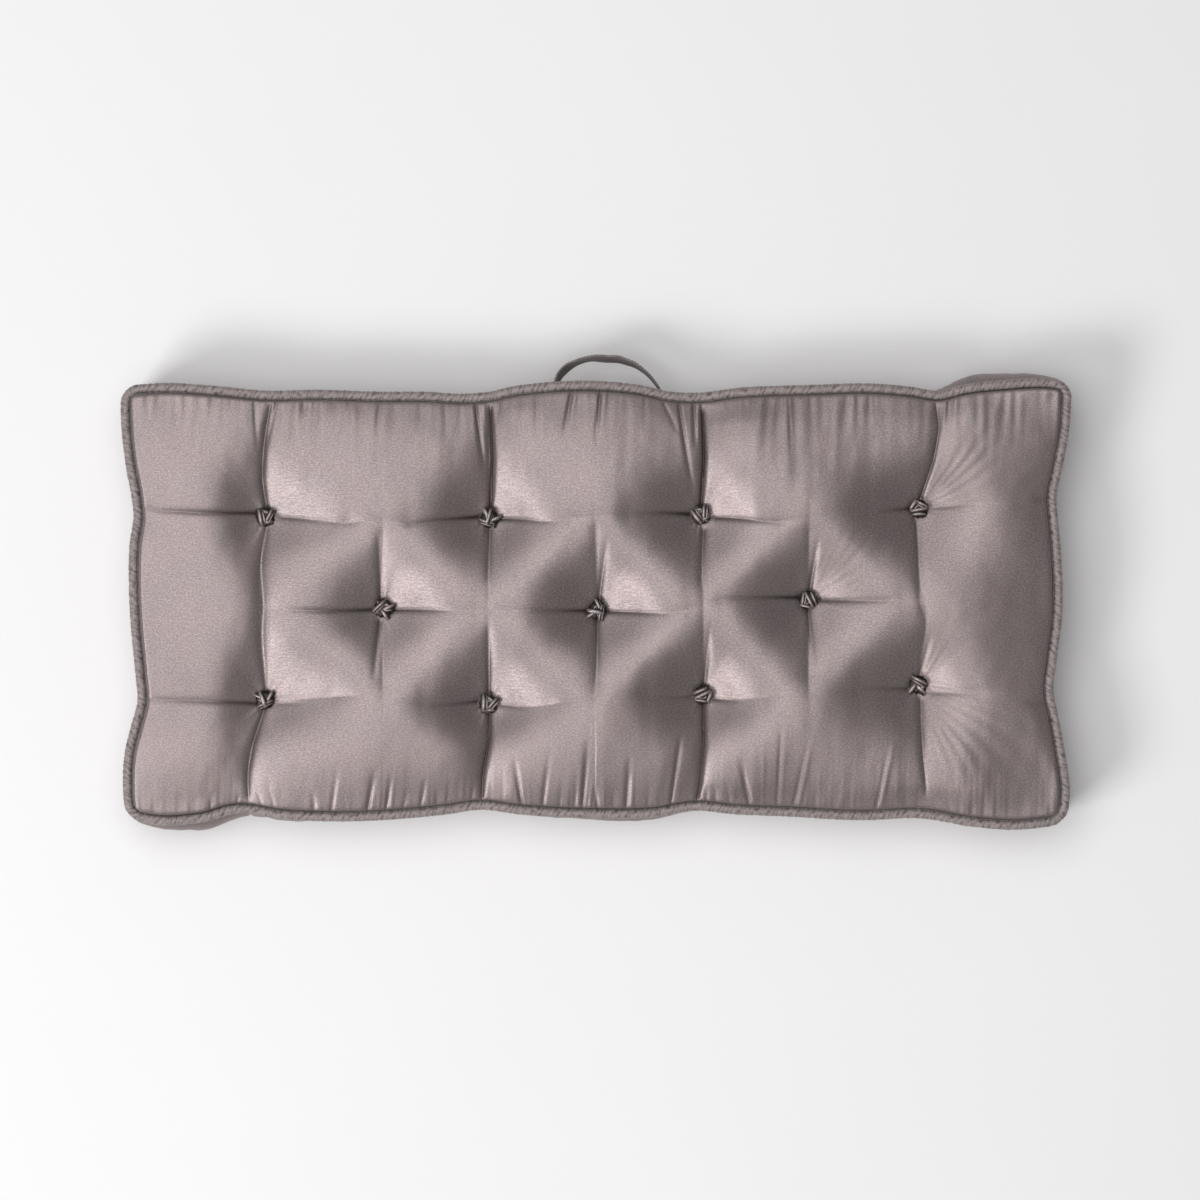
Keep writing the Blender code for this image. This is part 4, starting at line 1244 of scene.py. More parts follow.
@dataclass
class Cover:
    """The filled cover: top panel, boxing band and underside, in one closed skin."""

    split_y: float = 0.138
    column_cut: GridCut = GridCut(0.0030, 0.0014, 0.014)
    row_cut: GridCut = GridCut(0.0029, 0.0013, 0.013)
    band_drops: tuple[float, ...] = (
        2.5, 5.5, 9, 13, 18, 24, 31, 38, 45, 52, 58.5, 64, 68.5, 72, 75, 77.7, 80
    )
    under_inset: float = 0.006
    under_step: float = 0.0075
    lip_heights: tuple[float, float, float] = (0.0130, 0.0072, 0.0072)
    lip_reach: float = 0.0010
    lip_fades: tuple[float, float] = (0.080, 0.036)
    lip_blend: float = 4.0
    creases: CreaseCut = CreaseCut()
    puckers: Puckering = Puckering()
    gathers: TuftGathers = TuftGathers()
    band_folds: BandFolds = BandFolds()
    sway: Waves = Waves(0.0006, 7, 14, 0.08, 0.20)
    ripple: Waves = Waves(0.00006, 8, 14, 0.02, 0.05)
    under_sway: Waves = Waves(0.0006, 31, 12, 0.05, 0.15)
    crease_start: float = 0.004
    sway_start: float = 0.020
    # Painted shade: crease and pucker depths in millimetres at which it is full, with the power of its rise;
    # reach of the dark line along the seam; strength and reach of the dark patch round each knot; for the
    # band, the fold depth where it starts, the depth over which it grows and its darkest share, and the reach
    # of its dark seam lines
    crease_shade: tuple[float, float] = (2.8, 1.7)
    pucker_shade: tuple[float, float] = (3.0, 1.5)
    seam_shade: float = 0.0008
    knot_shade: float = 0.85
    knot_shade_reach: float = 0.0105
    band_shade: tuple[float, float, float] = (0.0012, 0.004, 0.6)
    band_seam_shade: float = 0.0012

    def __post_init__(self) -> None:
        """Lays out the grid lines of the top panel."""
        self.coarse = self.column_cut.lines(sorted({tuft[1] for tuft in TUFTS}), COVER_X)
        halves = (self.coarse[1:] + self.coarse[:-1]) / 2
        self.fine = np.sort(np.concatenate([self.coarse, halves]))
        self.rows = self.row_cut.lines(sorted({tuft[2] for tuft in TUFTS}), COVER_Y)

    def row_columns(self, y: float) -> Array:
        """Grid columns of a row: close together where the seams pucker the panel."""
        return self.fine if abs(y) > self.split_y else self.coarse

    def rim(self) -> tuple[Array, Array]:
        """Walks round the top seam.

        Returns:
            Nominal X and Y of its points, counter-clockwise from the front left corner.
        """
        front = [(x, -COVER_Y) for x in self.fine[:-1]]
        right = [(COVER_X, y) for y in self.rows[:-1]]
        back = [(x, COVER_Y) for x in self.fine[:0:-1]]
        left = [(-COVER_X, y) for y in self.rows[:0:-1]]
        x, y = np.array(front + right + back + left).T
        return x, y

    def top(self, x: Array, y: Array) -> tuple[Array, Array]:
        """Shapes the top panel.

        Args:
            x: Nominal place along the length.
            y: Nominal place across the depth.

        Returns:
            Points of the row frame, and how deep in a fold each one lies.
        """
        px, py = PLAN.place(x, y)
        from_end, from_side = COVER_X - np.abs(x), COVER_Y - np.abs(y)
        edge = np.minimum(from_end, from_side)
        left, right, side = self.lip_heights
        lips = zip((np.where(x < 0, left, right), side), (from_end, from_side), self.lip_fades)
        lip = sum((height * np.exp(-away / fade)) ** self.lip_blend for height, away, fade in lips)
        lip = lip ** (1 / self.lip_blend)
        for away in (from_end, from_side):
            lip = lip * (1 - np.exp(-away / self.lip_reach))
        crease = self.creases.at(px / MM, py / MM) * smooth_step(0.0, self.crease_start, edge)
        pucker = self.puckers.at(px / MM, y)
        fans = self.gathers.fanned(px / MM, py / MM)
        sway = (self.sway.at(x, y) + self.ripple.at(x, y)) * smooth_step(0.0, self.sway_start, edge)
        z = PLAN.top_height(x, y) + lip + sway + self.gathers.pleated(px, py)
        z = z + (pucker + fans - crease) * MM
        # Painted shade: a dark line along the seam, deeper in creases and puckers, and a dark patch round
        # each knot
        depth = bell(edge, self.seam_shade)
        for fold, (full, power) in ((crease, self.crease_shade), (-pucker, self.pucker_shade)):
            depth = depth + np.clip(fold / full, 0, 1) ** power
        for _, _, _, at_x, at_y in TUFTS:
            away = np.hypot(px - at_x, py - at_y) / self.knot_shade_reach
            depth = depth + self.knot_shade * np.exp(-(away**4))
        return PLAN.stand(np.stack([px, py, z], axis=1)), np.clip(depth, 0, 1)

    def build(self) -> bpy.types.Object:
        """Builds the cover.

        Returns:
            One closed mesh that stands for the CAD cushion.
        """
        draft = Draft()
        ring = self.add_top(draft)
        x, y = self.rim()
        ring = self.add_band(draft, ring, x, y)
        self.add_underside(draft, ring, x, y)
        return draft.object("satin_cover", Finish.COVER)

    def add_top(self, draft: Draft) -> Array:
        """Adds the top panel, in rows of finer or coarser cells.

        Args:
            draft: The cover so far.

        Returns:
            The numbers of the points along its seam, in the order of the rim.
        """
        columns = [self.row_columns(y) for y in self.rows]
        widths = [len(x) for x in columns]
        starts = [0, *np.cumsum(widths)]
        nominal = [np.stack([x, np.full(len(x), y)], axis=1) for x, y in zip(columns, self.rows)]
        nominal = np.concatenate(nominal)
        draft.add_points(*self.top(nominal[:, 0], nominal[:, 1]))
        for low, high, n, m in zip(starts, starts[1:], widths, widths[1:]):
            i = np.arange(min(n, m) - 1)
            below = [low + i, low + i + 1] if n <= m else [low + 2 * i + step for step in (0, 1, 2)]
            above = [high + i + 1, high + i] if n >= m else [high + 2 * i + step for step in (2, 1, 0)]
            faces = np.stack(below + above, axis=1)
            draft.add_faces(faces, nominal[faces])
        last = len(self.rows) - 1
        front = np.arange(widths[0] - 1)
        right = np.array(starts[1 : last + 1]) - 1
        back = starts[last] + np.arange(widths[last] - 1, 0, -1)
        left = np.array(starts[last:0:-1])
        return np.concatenate([front, right, back, left])

    def add_band(self, draft: Draft, ring: Array, x: Array, y: Array) -> Array:
        """Adds the boxing band below the top seam, ring by ring.

        Args:
            draft: The cover so far.
            ring: Numbers of the points along the top seam.
            x: Nominal X of the points of the rim.
            y: Nominal Y of the points of the rim.

        Returns:
            The numbers of the points along the lower seam.
        """
        px, py = PLAN.place(x, y)
        steps = np.hypot(np.diff(np.append(px, px[0])), np.diff(np.append(py, py[0])))
        run = np.concatenate([[0.0], np.cumsum(steps)])
        out_x, out_y = PLAN.outward(x, y)
        from_fold, full_fold, darkest = self.band_shade
        above = 0.0
        for drop in np.array(self.band_drops) * MM:
            bx, by, bz = PLAN.band_point(x, y, drop)
            fold = self.band_folds.at(x, y, run[:-1], drop)
            points = np.stack([bx + out_x * fold, by + out_y * fold, bz], axis=1)
            # Painted shade in the band's deeper folds, and a dark line along both of its seams
            seam = math.exp(-min(drop, PLAN.band_height - drop) / self.band_seam_shade)
            depth = np.clip((-fold - from_fold) / full_fold, 0, darkest) + seam
            first = draft.add_points(PLAN.stand(points), np.clip(depth, 0, 1))
            below = first + np.arange(len(ring))
            faces = np.stack([ring, below, np.roll(below, -1), np.roll(ring, -1)], axis=1)
            upper, lower = np.full(len(ring), -above), np.full(len(ring), -drop)
            cloth = [run[:-1], upper, run[:-1], lower, run[1:], lower, run[1:], upper]
            draft.add_faces(faces, np.stack(cloth, axis=1).reshape(-1, 4, 2))
            ring, above = below, drop
        return ring

    def add_underside(self, draft: Draft, ring: Array, rim_x: Array, rim_y: Array) -> None:
        """Closes the cover below with a coarser panel.

        Args:
            draft: The cover so far.
            ring: Numbers of the points along the lower seam.
            rim_x: Nominal X of the points of the rim.
            rim_y: Nominal Y of the points of the rim.
        """
        half_x, half_y = COVER_X - self.under_inset, COVER_Y - self.under_inset
        columns = np.linspace(-half_x, half_x, round(2 * half_x / self.under_step) + 1)
        rows = np.linspace(-half_y, half_y, round(2 * half_y / self.under_step) + 1)
        grid_x, grid_y = mesh_pairs(columns, rows)
        px, py = PLAN.place(grid_x, grid_y, 1.0)
        sway = self.under_sway.at(grid_x, grid_y)
        z = np.maximum(0.0, PLAN.under_height_at(grid_x, grid_y) + sway)
        first = draft.add_points(PLAN.stand(np.stack([px, py, z], axis=1)))
        n, m = len(columns), len(rows)
        i, j = mesh_pairs(np.arange(n - 1), np.arange(m - 1))
        corner = j * n + i
        faces = np.stack([corner, corner + n, corner + n + 1, corner + 1], axis=1)
        nominal = np.stack([grid_x, grid_y], axis=1)
        draft.add_faces(first + faces, nominal[faces])
        number = np.arange(n * m).reshape(m, n)
        inner = [number[0, :-1], number[:-1, -1], number[-1, :0:-1], number[:0:-1, 0]]
        inner = np.concatenate(inner)
        outer_at = self.round_trip(rim_x / COVER_X, rim_y / COVER_Y)
        inner_at = self.round_trip(nominal[inner, 0] / half_x, nominal[inner, 1] / half_y)
        outer_xy = np.stack([rim_x, rim_y], axis=1)
        self.join_rings(draft, (ring, outer_xy, outer_at), (first + inner, nominal[inner], inner_at))

    @staticmethod
    def join_rings(draft: Draft, outer: tuple[Array, ...], inner: tuple[Array, ...]) -> None:
        """Joins two closed rings of points with triangles.

        Args:
            draft: The cover so far.
            outer: Numbers, cloth coordinates and places on the round trip of the outer ring.
            inner: The same of the inner ring.
        """
        ring, outer_xy, outer_at = outer
        hem, inner_xy, inner_at = inner
        corners, cloth = [], []
        a = b = 0
        while a < len(ring) or b < len(hem):
            a_now, b_now = a % len(ring), b % len(hem)
            if b >= len(hem) or (a < len(ring) and outer_at[a + 1] <= inner_at[b + 1]):
                a += 1
                third, third_xy = ring[a % len(ring)], outer_xy[a % len(ring)]
            else:
                b += 1
                third, third_xy = hem[b % len(hem)], inner_xy[b % len(hem)]
            corners.append((ring[a_now], hem[b_now], third))
            cloth.append((outer_xy[a_now], inner_xy[b_now], third_xy))
        draft.add_faces(np.array(corners), np.array(cloth))

    @staticmethod
    def round_trip(u: Array, v: Array) -> Array:
        """Measures the way round a rectangle.

        Args:
            u: X of points of its rim, from -1 to 1.
            v: Y of points of its rim, from -1 to 1.

        Returns:
            A share that grows by 1 on each side, with 4 added for the closing point.
        """
        end = 1 - 1e-6
        at = np.where(v >= end, 2 + (1 - u) / 2, 3 + (1 - v) / 2)
        at = np.where(u >= end, 1 + (v + 1) / 2, at)
        return np.append(np.where(v <= -end, (u + 1) / 2, at), 4.0)


@dataclass
class Piping:
    """A covered cord sewn into a seam, its cloth drawn up in slanting gathers."""

    name: str
    node: str
    level: int
    seed: int
    sides: int = 18
    step: float = 0.0012
    cloth_inset: float = 0.0001
    rib_pitch: float = 0.0047
    rib_depth: float = 0.00095
    rib_slant: float = 3.0
    rib_power: float = 0.85
    rib_level: float = 0.85
    drift_scale: float = 70.0
    drift_ribs: float = 3.2
    strength_scale: float = 160.0
    strength_span: tuple[float, float, float, float] = (0.32, 0.62, 0.35, 1.35)
    lump_scale: float = 230.0
    lump_height: float = 0.0007
    # Painted shade: share kept in the hollows between the gathers, and reach of the dark line at the seam
    hollow_shade: float = 0.75
    seam_shade: float = 0.0011

    def tree(self) -> bpy.types.GeometryNodeTree:
        """Builds the tree that sweeps a ribbed cord along a closed seam.

        Returns:
            The tree, with the cord's sizes as inputs.
        """
        sizes = ("Radius", "Step", "Rib Pitch", "Rib Depth", "Rib Slant", "Seed")
        graph = Growth(f"{self.name}_tree", sizes)
        given, maths = graph.given, graph.maths
        path = graph.path(given["Step"])
        path = graph.add("GeometryNodeSetCurveNormal", {"Curve": path}, mode="Z_UP").outputs["Curve"]
        path, run = graph.keep(path, "Run", "Length")
        inputs = {"Resolution": self.sides, "Radius": given["Radius"]}
        circle = graph.add("GeometryNodeCurvePrimitiveCircle", inputs).outputs["Curve"]
        circle, turn = graph.keep(circle, "Turn", "Factor")
        inputs = {"Curve": path, "Profile Curve": circle}
        cord = graph.add("GeometryNodeCurveToMesh", inputs).outputs["Mesh"]

        drift = graph.noise_along(maths("ADD", maths("MULTIPLY", run, self.drift_scale), given["Seed"]))
        ribs = maths("DIVIDE", run, given["Rib Pitch"])
        ribs = maths("ADD", ribs, maths("MULTIPLY", turn, given["Rib Slant"]))
        ribs = maths("ADD", ribs, maths("MULTIPLY", drift, self.drift_ribs))
        rib = maths("ABSOLUTE", maths("SINE", maths("MULTIPLY", ribs, math.pi)))
        rib = maths("POWER", rib, self.rib_power)
        strength = graph.noise_along(maths("MULTIPLY", run, self.strength_scale))
        strength = graph.ranged(strength, self.strength_span)
        place = graph.add("GeometryNodeInputPosition").outputs[0]
        lumps = maths("SUBTRACT", graph.noise(place, self.lump_scale, 2.0), 0.5)
        depth = maths("MULTIPLY", strength, given["Rib Depth"])
        rise = maths("MULTIPLY", maths("SUBTRACT", rib, self.rib_level), depth)
        rise = maths("ADD", rise, maths("MULTIPLY", lumps, self.lump_height))
        inputs = {0: graph.add("GeometryNodeInputNormal").outputs[0], "Scale": rise}
        shift = graph.add("ShaderNodeVectorMath", inputs, operation="SCALE").outputs[0]
        inputs = {"Geometry": cord, "Offset": shift}
        cord = graph.add("GeometryNodeSetPosition", inputs).outputs[0]

        # Painted shade in the hollows between the gathers
        hollow = maths("MULTIPLY", maths("SUBTRACT", 1.0, rib), strength)
        cord = graph.store(cord, "painted_shade", hollow, data_type="FLOAT", domain="POINT")
        around = maths("MULTIPLY", turn, math.tau * PLAN.piping_radius)
        cloth = graph.add("ShaderNodeCombineXYZ", {"X": run, "Y": around}).outputs[0]
        return graph.end(graph.store(cord, "weave", cloth, data_type="FLOAT2", domain="CORNER"))

    def build(self, rim: tuple[Array, Array]) -> bpy.types.Object:
        """Sweeps the piping along its seam.

        Args:
            rim: Nominal points of the seam.

        Returns:
            The piping as a plain mesh.
        """
        values = {
            "Radius": PLAN.piping_radius - self.cloth_inset,
            "Step": self.step,
            "Rib Pitch": self.rib_pitch,
            "Rib Depth": self.rib_depth,
            "Rib Slant": self.rib_slant,
            "Seed": float(self.seed),
            "Cloth": material_of(Finish.PIPING),
        }
        path = PLAN.piping_path(self.level, *rim)
        piping = grown(self.name, [path], True, self.tree(), values)
        self.darken_seam(piping.data, rim, path[:, 2])
        return piping

    def darken_seam(self, mesh: bpy.types.Mesh, rim: tuple[Array, Array], heights: Array) -> None:
        """Deepens the painted shade of the cloth that turns down into the seam.

        Args:
            mesh: The piping.
            rim: Nominal points of the seam.
            heights: Height of the seam at each of them.
        """
        seam_x, seam_y = PLAN.place(*rim, float(self.level))
        seam = PLAN.stand(np.stack([seam_x, seam_y, heights], axis=1))
        tree = KDTree(len(seam))
        for number, point in enumerate(seam):
            tree.insert(point, number)
        tree.balance()
        away = np.array([tree.find(vertex.co)[2] for vertex in mesh.vertices])
        shade = mesh.attributes["painted_shade"].data
        depth = np.zeros(len(mesh.vertices), np.float32)
        shade.foreach_get("value", depth)
        depth = np.clip(self.hollow_shade * depth + bell(away, self.seam_shade), 0, 1)
        shade.foreach_set("value", depth.astype(np.float32))


def grown(
    name: str, paths: list[Array], closed: bool, tree: bpy.types.GeometryNodeTree, values: dict[str, object]
) -> bpy.types.Object:
    """Runs a tree over guide lines and keeps the result as a plain mesh.

    Args:
        name: Name of the piece.
        paths: Rows of X, Y, Z, one array for each guide line.
        closed: True if each line ends where it starts.
        tree: The Geometry Nodes tree.
        values: Value of each named input.

    Returns:
        The new object, with no modifier left.
    """
    guide = bpy.data.meshes.new(f"{name}_guide")
    edges, first = [], 0
    for path in paths:
        n = len(path)
        edges += [(first + i, first + i + 1) for i in range(n - 1)]
        if closed:
            edges.append((first + n - 1, first))
        first += n
    guide.from_pydata(np.concatenate(paths).tolist(), edges, [])
    host = in_scene(bpy.data.objects.new(f"{name}_guide", guide))
    modifier = host.modifiers.new("grow", "NODES")
    modifier.node_group = tree
    for item in tree.interface.items_tree:
        if item.in_out == "INPUT" and item.name in values:
            modifier[item.identifier] = values[item.name]
    bpy.context.view_layer.update()
    graph = bpy.context.evaluated_depsgraph_get()
    mesh = bpy.data.meshes.new_from_object(host.evaluated_get(graph))
    mesh.name = name
    bpy.data.objects.remove(host, do_unlink=True)
    return in_scene(bpy.data.objects.new(name, mesh))


class KnotStyle(Enum):
    """Ways of tying a rosette.

    Each row is one folded band: turn in degrees, place in X and Y, half length
    and half width in millimetres, rise in millimetres, and its number of pleats.
    """

    CLEFT = (
        (102, -4.2, 0.3, 10.4, 3.9, 9.6, 2),
        (62, 4.6, 1.0, 9.0, 3.4, 8.6, 2),
        (8, 1.5, -6.4, 7.4, 2.6, 6.6, 1),
        (160, 0.5, 6.2, 7.0, 2.5, 6.2, 1),
    )
    CROSSED = (
        (18, 0.0, -4.6, 9.8, 3.0, 7.8, 2),
        (108, -1.4, 1.0, 10.4, 2.7, 9.8, 1),
        (55, 5.6, 2.2, 7.8, 2.5, 7.4, 1),
        (150, -5.6, 3.8, 7.0, 2.5, 6.8, 1),
    )
    TURBAN = (
        (2, 0.0, -6.4, 8.0, 2.3, 7.0, 1),
        (8, 0.0, -1.4, 10.4, 2.6, 9.4, 1),
        (-28, 2.8, 4.4, 8.4, 2.8, 8.8, 2),
        (55, -5.2, 4.0, 7.2, 2.5, 8.0, 1),
    )
    LOOPED = (
        (-28, 1.0, 3.8, 10.4, 3.2, 9.6, 2),
        (52, -4.8, -4.0, 7.6, 2.6, 7.8, 1),
        (-42, 2.0, -5.4, 8.2, 2.6, 7.2, 1),
        (80, 6.0, -1.4, 6.8, 2.1, 6.6, 1),
    )


# How each rosette is tied, and how far it is turned in degrees
KNOTS = {
    "back_1": (KnotStyle.CLEFT, 0),
    "back_2": (KnotStyle.CROSSED, -35),
    "back_3": (KnotStyle.CLEFT, 25),
    "back_4": (KnotStyle.TURBAN, 0),
    "middle_1": (KnotStyle.LOOPED, 70),
    "middle_2": (KnotStyle.CROSSED, 60),
    "middle_3": (KnotStyle.TURBAN, 110),
    "front_1": (KnotStyle.CROSSED, 5),
    "front_2": (KnotStyle.CLEFT, -12),
    "front_3": (KnotStyle.TURBAN, 200),
    "front_4": (KnotStyle.LOOPED, 0),
}


@dataclass(frozen=True)
class BandCut:
    """How a rosette's bands are folded, with lengths in millimetres."""

    squareness: float = 0.8
    end_width: float = 0.50
    pleat_wander: float = 0.16
    pleat_bend: float = 2.6
    pleat_start: float = 0.30
    pleat_power: float = 0.55
    roundness: float = 0.7
    swell: float = 1.4
    pleat_height: float = 1.7
    pleat_mean: float = 0.6
    under: float = 1.3
    length_share: float = 0.90
    pleat_stretch: float = 0.04
    sway: float = 0.66
    sway_bend: float = 1.9
    foot: float = 0.7
    arch_inset: float = 1.5
    arch_power: float = 2.4
    lowest: float = 0.3
    # Painted shade: in the pleats' hollows, towards the band ends, on the band's sides and underside, and at
    # its tips
    pleat_shade: float = 2.4
    end_shade: float = 0.7
    end_shade_power: int = 6
    edge_shade: tuple[float, float] = (0.15, 0.65)
    tip_shade: float = 0.8


@dataclass
class Rosette:
    """A knot of folded cloth that covers a tuft's twine."""

    tuft: str
    seat: Array
    style: KnotStyle
    turn: float
    seed: int
    cut: BandCut = BandCut()
    along_steps: int = 26
    around_steps: int = 30
    fillers: int = 3
    filler_spread: float = 0.3
    filler_out: tuple[float, float] = (3.4, 5.6)
    filler_sizes: tuple[tuple[float, float], ...] = ((6.0, 7.8), (1.5, 2.0), (5.0, 7.0))
    filler_turn: tuple[float, float] = (40.0, 140.0)
    core_rings: int = 9
    core_sides: int = 36
    core_radius: float = 0.0098
    core_height: float = 0.0058
    core_foot: float = 0.0004
    core_puckers: tuple[float, int] = (0.05, 11)
    cloth_size: float = 0.02

    def add_folded(self, draft: Draft, rings: Array, ends: Array, depth: Array, inward: bool) -> None:
        """Adds a closed fold of cloth on the tuft's seat.

        Args:
            draft: The rosette so far.
            rings: Points by ring and by side, about the seat.
            ends: The points in which the first and the last ring meet.
            depth: Fold depth of all of them.
            inward: True if the faces would point inwards without a turn.
        """
        count, sides = rings.shape[:2]
        along = np.arange(count) / count * self.cloth_size
        across = np.arange(sides + 1) / sides * self.cloth_size
        draft.add_tube(rings + self.seat, ends + self.seat, depth, along, across, inward)

    def add_core(self, draft: Draft) -> None:
        """Adds the puckered bundle under the folded bands, painted fully dark as the shade between them.

        Args:
            draft: The rosette so far.
        """
        polar = np.linspace(0, math.pi, self.core_rings + 2)[1:-1]
        theta, ring = np.meshgrid(np.arange(self.core_sides) / self.core_sides * math.tau, polar)
        depth, puckers = self.core_puckers
        reach = self.core_radius * np.sin(ring) * (1 + depth * np.cos(puckers * theta + self.seed))
        z = self.core_foot + self.core_height * (0.5 + 0.5 * np.cos(ring))
        rings = np.stack([reach * np.cos(theta), reach * np.sin(theta), z], axis=2)
        poles = np.array([[0, 0, self.core_foot + self.core_height], [0, 0, self.core_foot]])
        # The core takes full painted shade, and shows as dark shade in the gaps between the bands
        self.add_folded(draft, rings, poles, np.ones(theta.size + 2), inward=True)

    def add_band(self, draft: Draft, row: tuple[float, ...], draw: np.random.Generator) -> None:
        """Adds one pleated band that arches over the knot and tucks under at both ends.

        Args:
            draft: The rosette so far.
            row: The band, as a row of a knot style.
            draw: Source of the band's own unevenness.
        """
        turn, at_x, at_y, half_length, half_width, rise, pleats = row
        cut, shape = self.cut, (self.along_steps, self.around_steps)
        u = np.linspace(-1, 1, self.along_steps + 2)[1:-1][:, None]
        theta = (np.arange(self.around_steps) / self.around_steps * math.tau)[None, :]
        phase, wobble, lean = draw.uniform(0, math.tau), draw.uniform(0.6, 1.2), draw.uniform(-0.25, 0.25)
        v = rounded(np.cos(theta), cut.squareness)
        over, under = np.maximum(np.sin(theta), 0), np.maximum(-np.sin(theta), 0)
        narrow = cut.end_width + (1 - cut.end_width) * np.sqrt(np.maximum(0, 1 - u**2))
        wander = cut.pleat_wander * wobble * np.sin(cut.pleat_bend * u + phase)
        fold = np.abs(np.sin(math.pi * (pleats * (v + wander) / cut.pleat_bend + cut.pleat_start)))
        fold = fold**cut.pleat_power
        height = over**cut.roundness * (cut.swell + cut.pleat_height * (fold - cut.pleat_mean))
        along = cut.length_share * half_length * np.sin(u * math.pi / 2) * (1 + cut.pleat_stretch * fold)
        across = half_width * v * narrow + cut.sway * wobble * np.sin(cut.sway_bend * u + phase)
        arch = cut.foot + (rise - cut.arch_inset) * (1 - np.abs(u) ** cut.arch_power)
        z = arch + height - cut.under * under + lean * across * (1 - u**2)
        spin, place = math.radians(turn + self.turn), math.radians(self.turn)
        x = at_x * math.cos(place) - at_y * math.sin(place)
        y = at_x * math.sin(place) + at_y * math.cos(place)
        x = x + along * math.cos(spin) - across * math.sin(spin)
        y = y + along * math.sin(spin) + across * math.cos(spin)
        rings = np.stack([np.broadcast_to(part, shape) for part in (x, y, np.maximum(z, cut.lowest))], axis=2)
        ends = np.array([rings[0].mean(0), rings[-1].mean(0)])
        # Painted shade in the pleats' hollows, towards the ends, on the sides and underside, and at the tips
        depth = cut.pleat_shade * (1 - fold) * over + cut.end_shade * np.abs(u) ** cut.end_shade_power
        depth = np.clip(depth + 1 - smooth_step(*cut.edge_shade, over), 0, 1)
        depth = np.append(np.broadcast_to(depth, shape).ravel(), [cut.tip_shade] * 2)
        self.add_folded(draft, rings * MM, ends * MM, depth, inward=False)

    def build(self) -> bpy.types.Object:
        """Ties the rosette: a core painted dark as shade, then its folded bands one over another.

        Returns:
            The rosette as a plain mesh.
        """
        draft = Draft()
        draw = np.random.default_rng(self.seed)
        self.add_core(draft)
        spread = self.filler_spread
        for number in range(self.fillers):
            angle = math.tau * (number + draw.uniform(-spread, spread)) / self.fillers
            out = draw.uniform(*self.filler_out)
            sizes = [draw.uniform(*limits) for limits in self.filler_sizes]
            turn = math.degrees(angle) + draw.uniform(*self.filler_turn)
            row = (turn, out * math.cos(angle), out * math.sin(angle), *sizes, 1)
            self.add_band(draft, row, draw)
        for row in self.style.value:
            self.add_band(draft, row, draw)
        return draft.object(f"rosette_knot_{self.tuft}", Finish.ROSETTE)


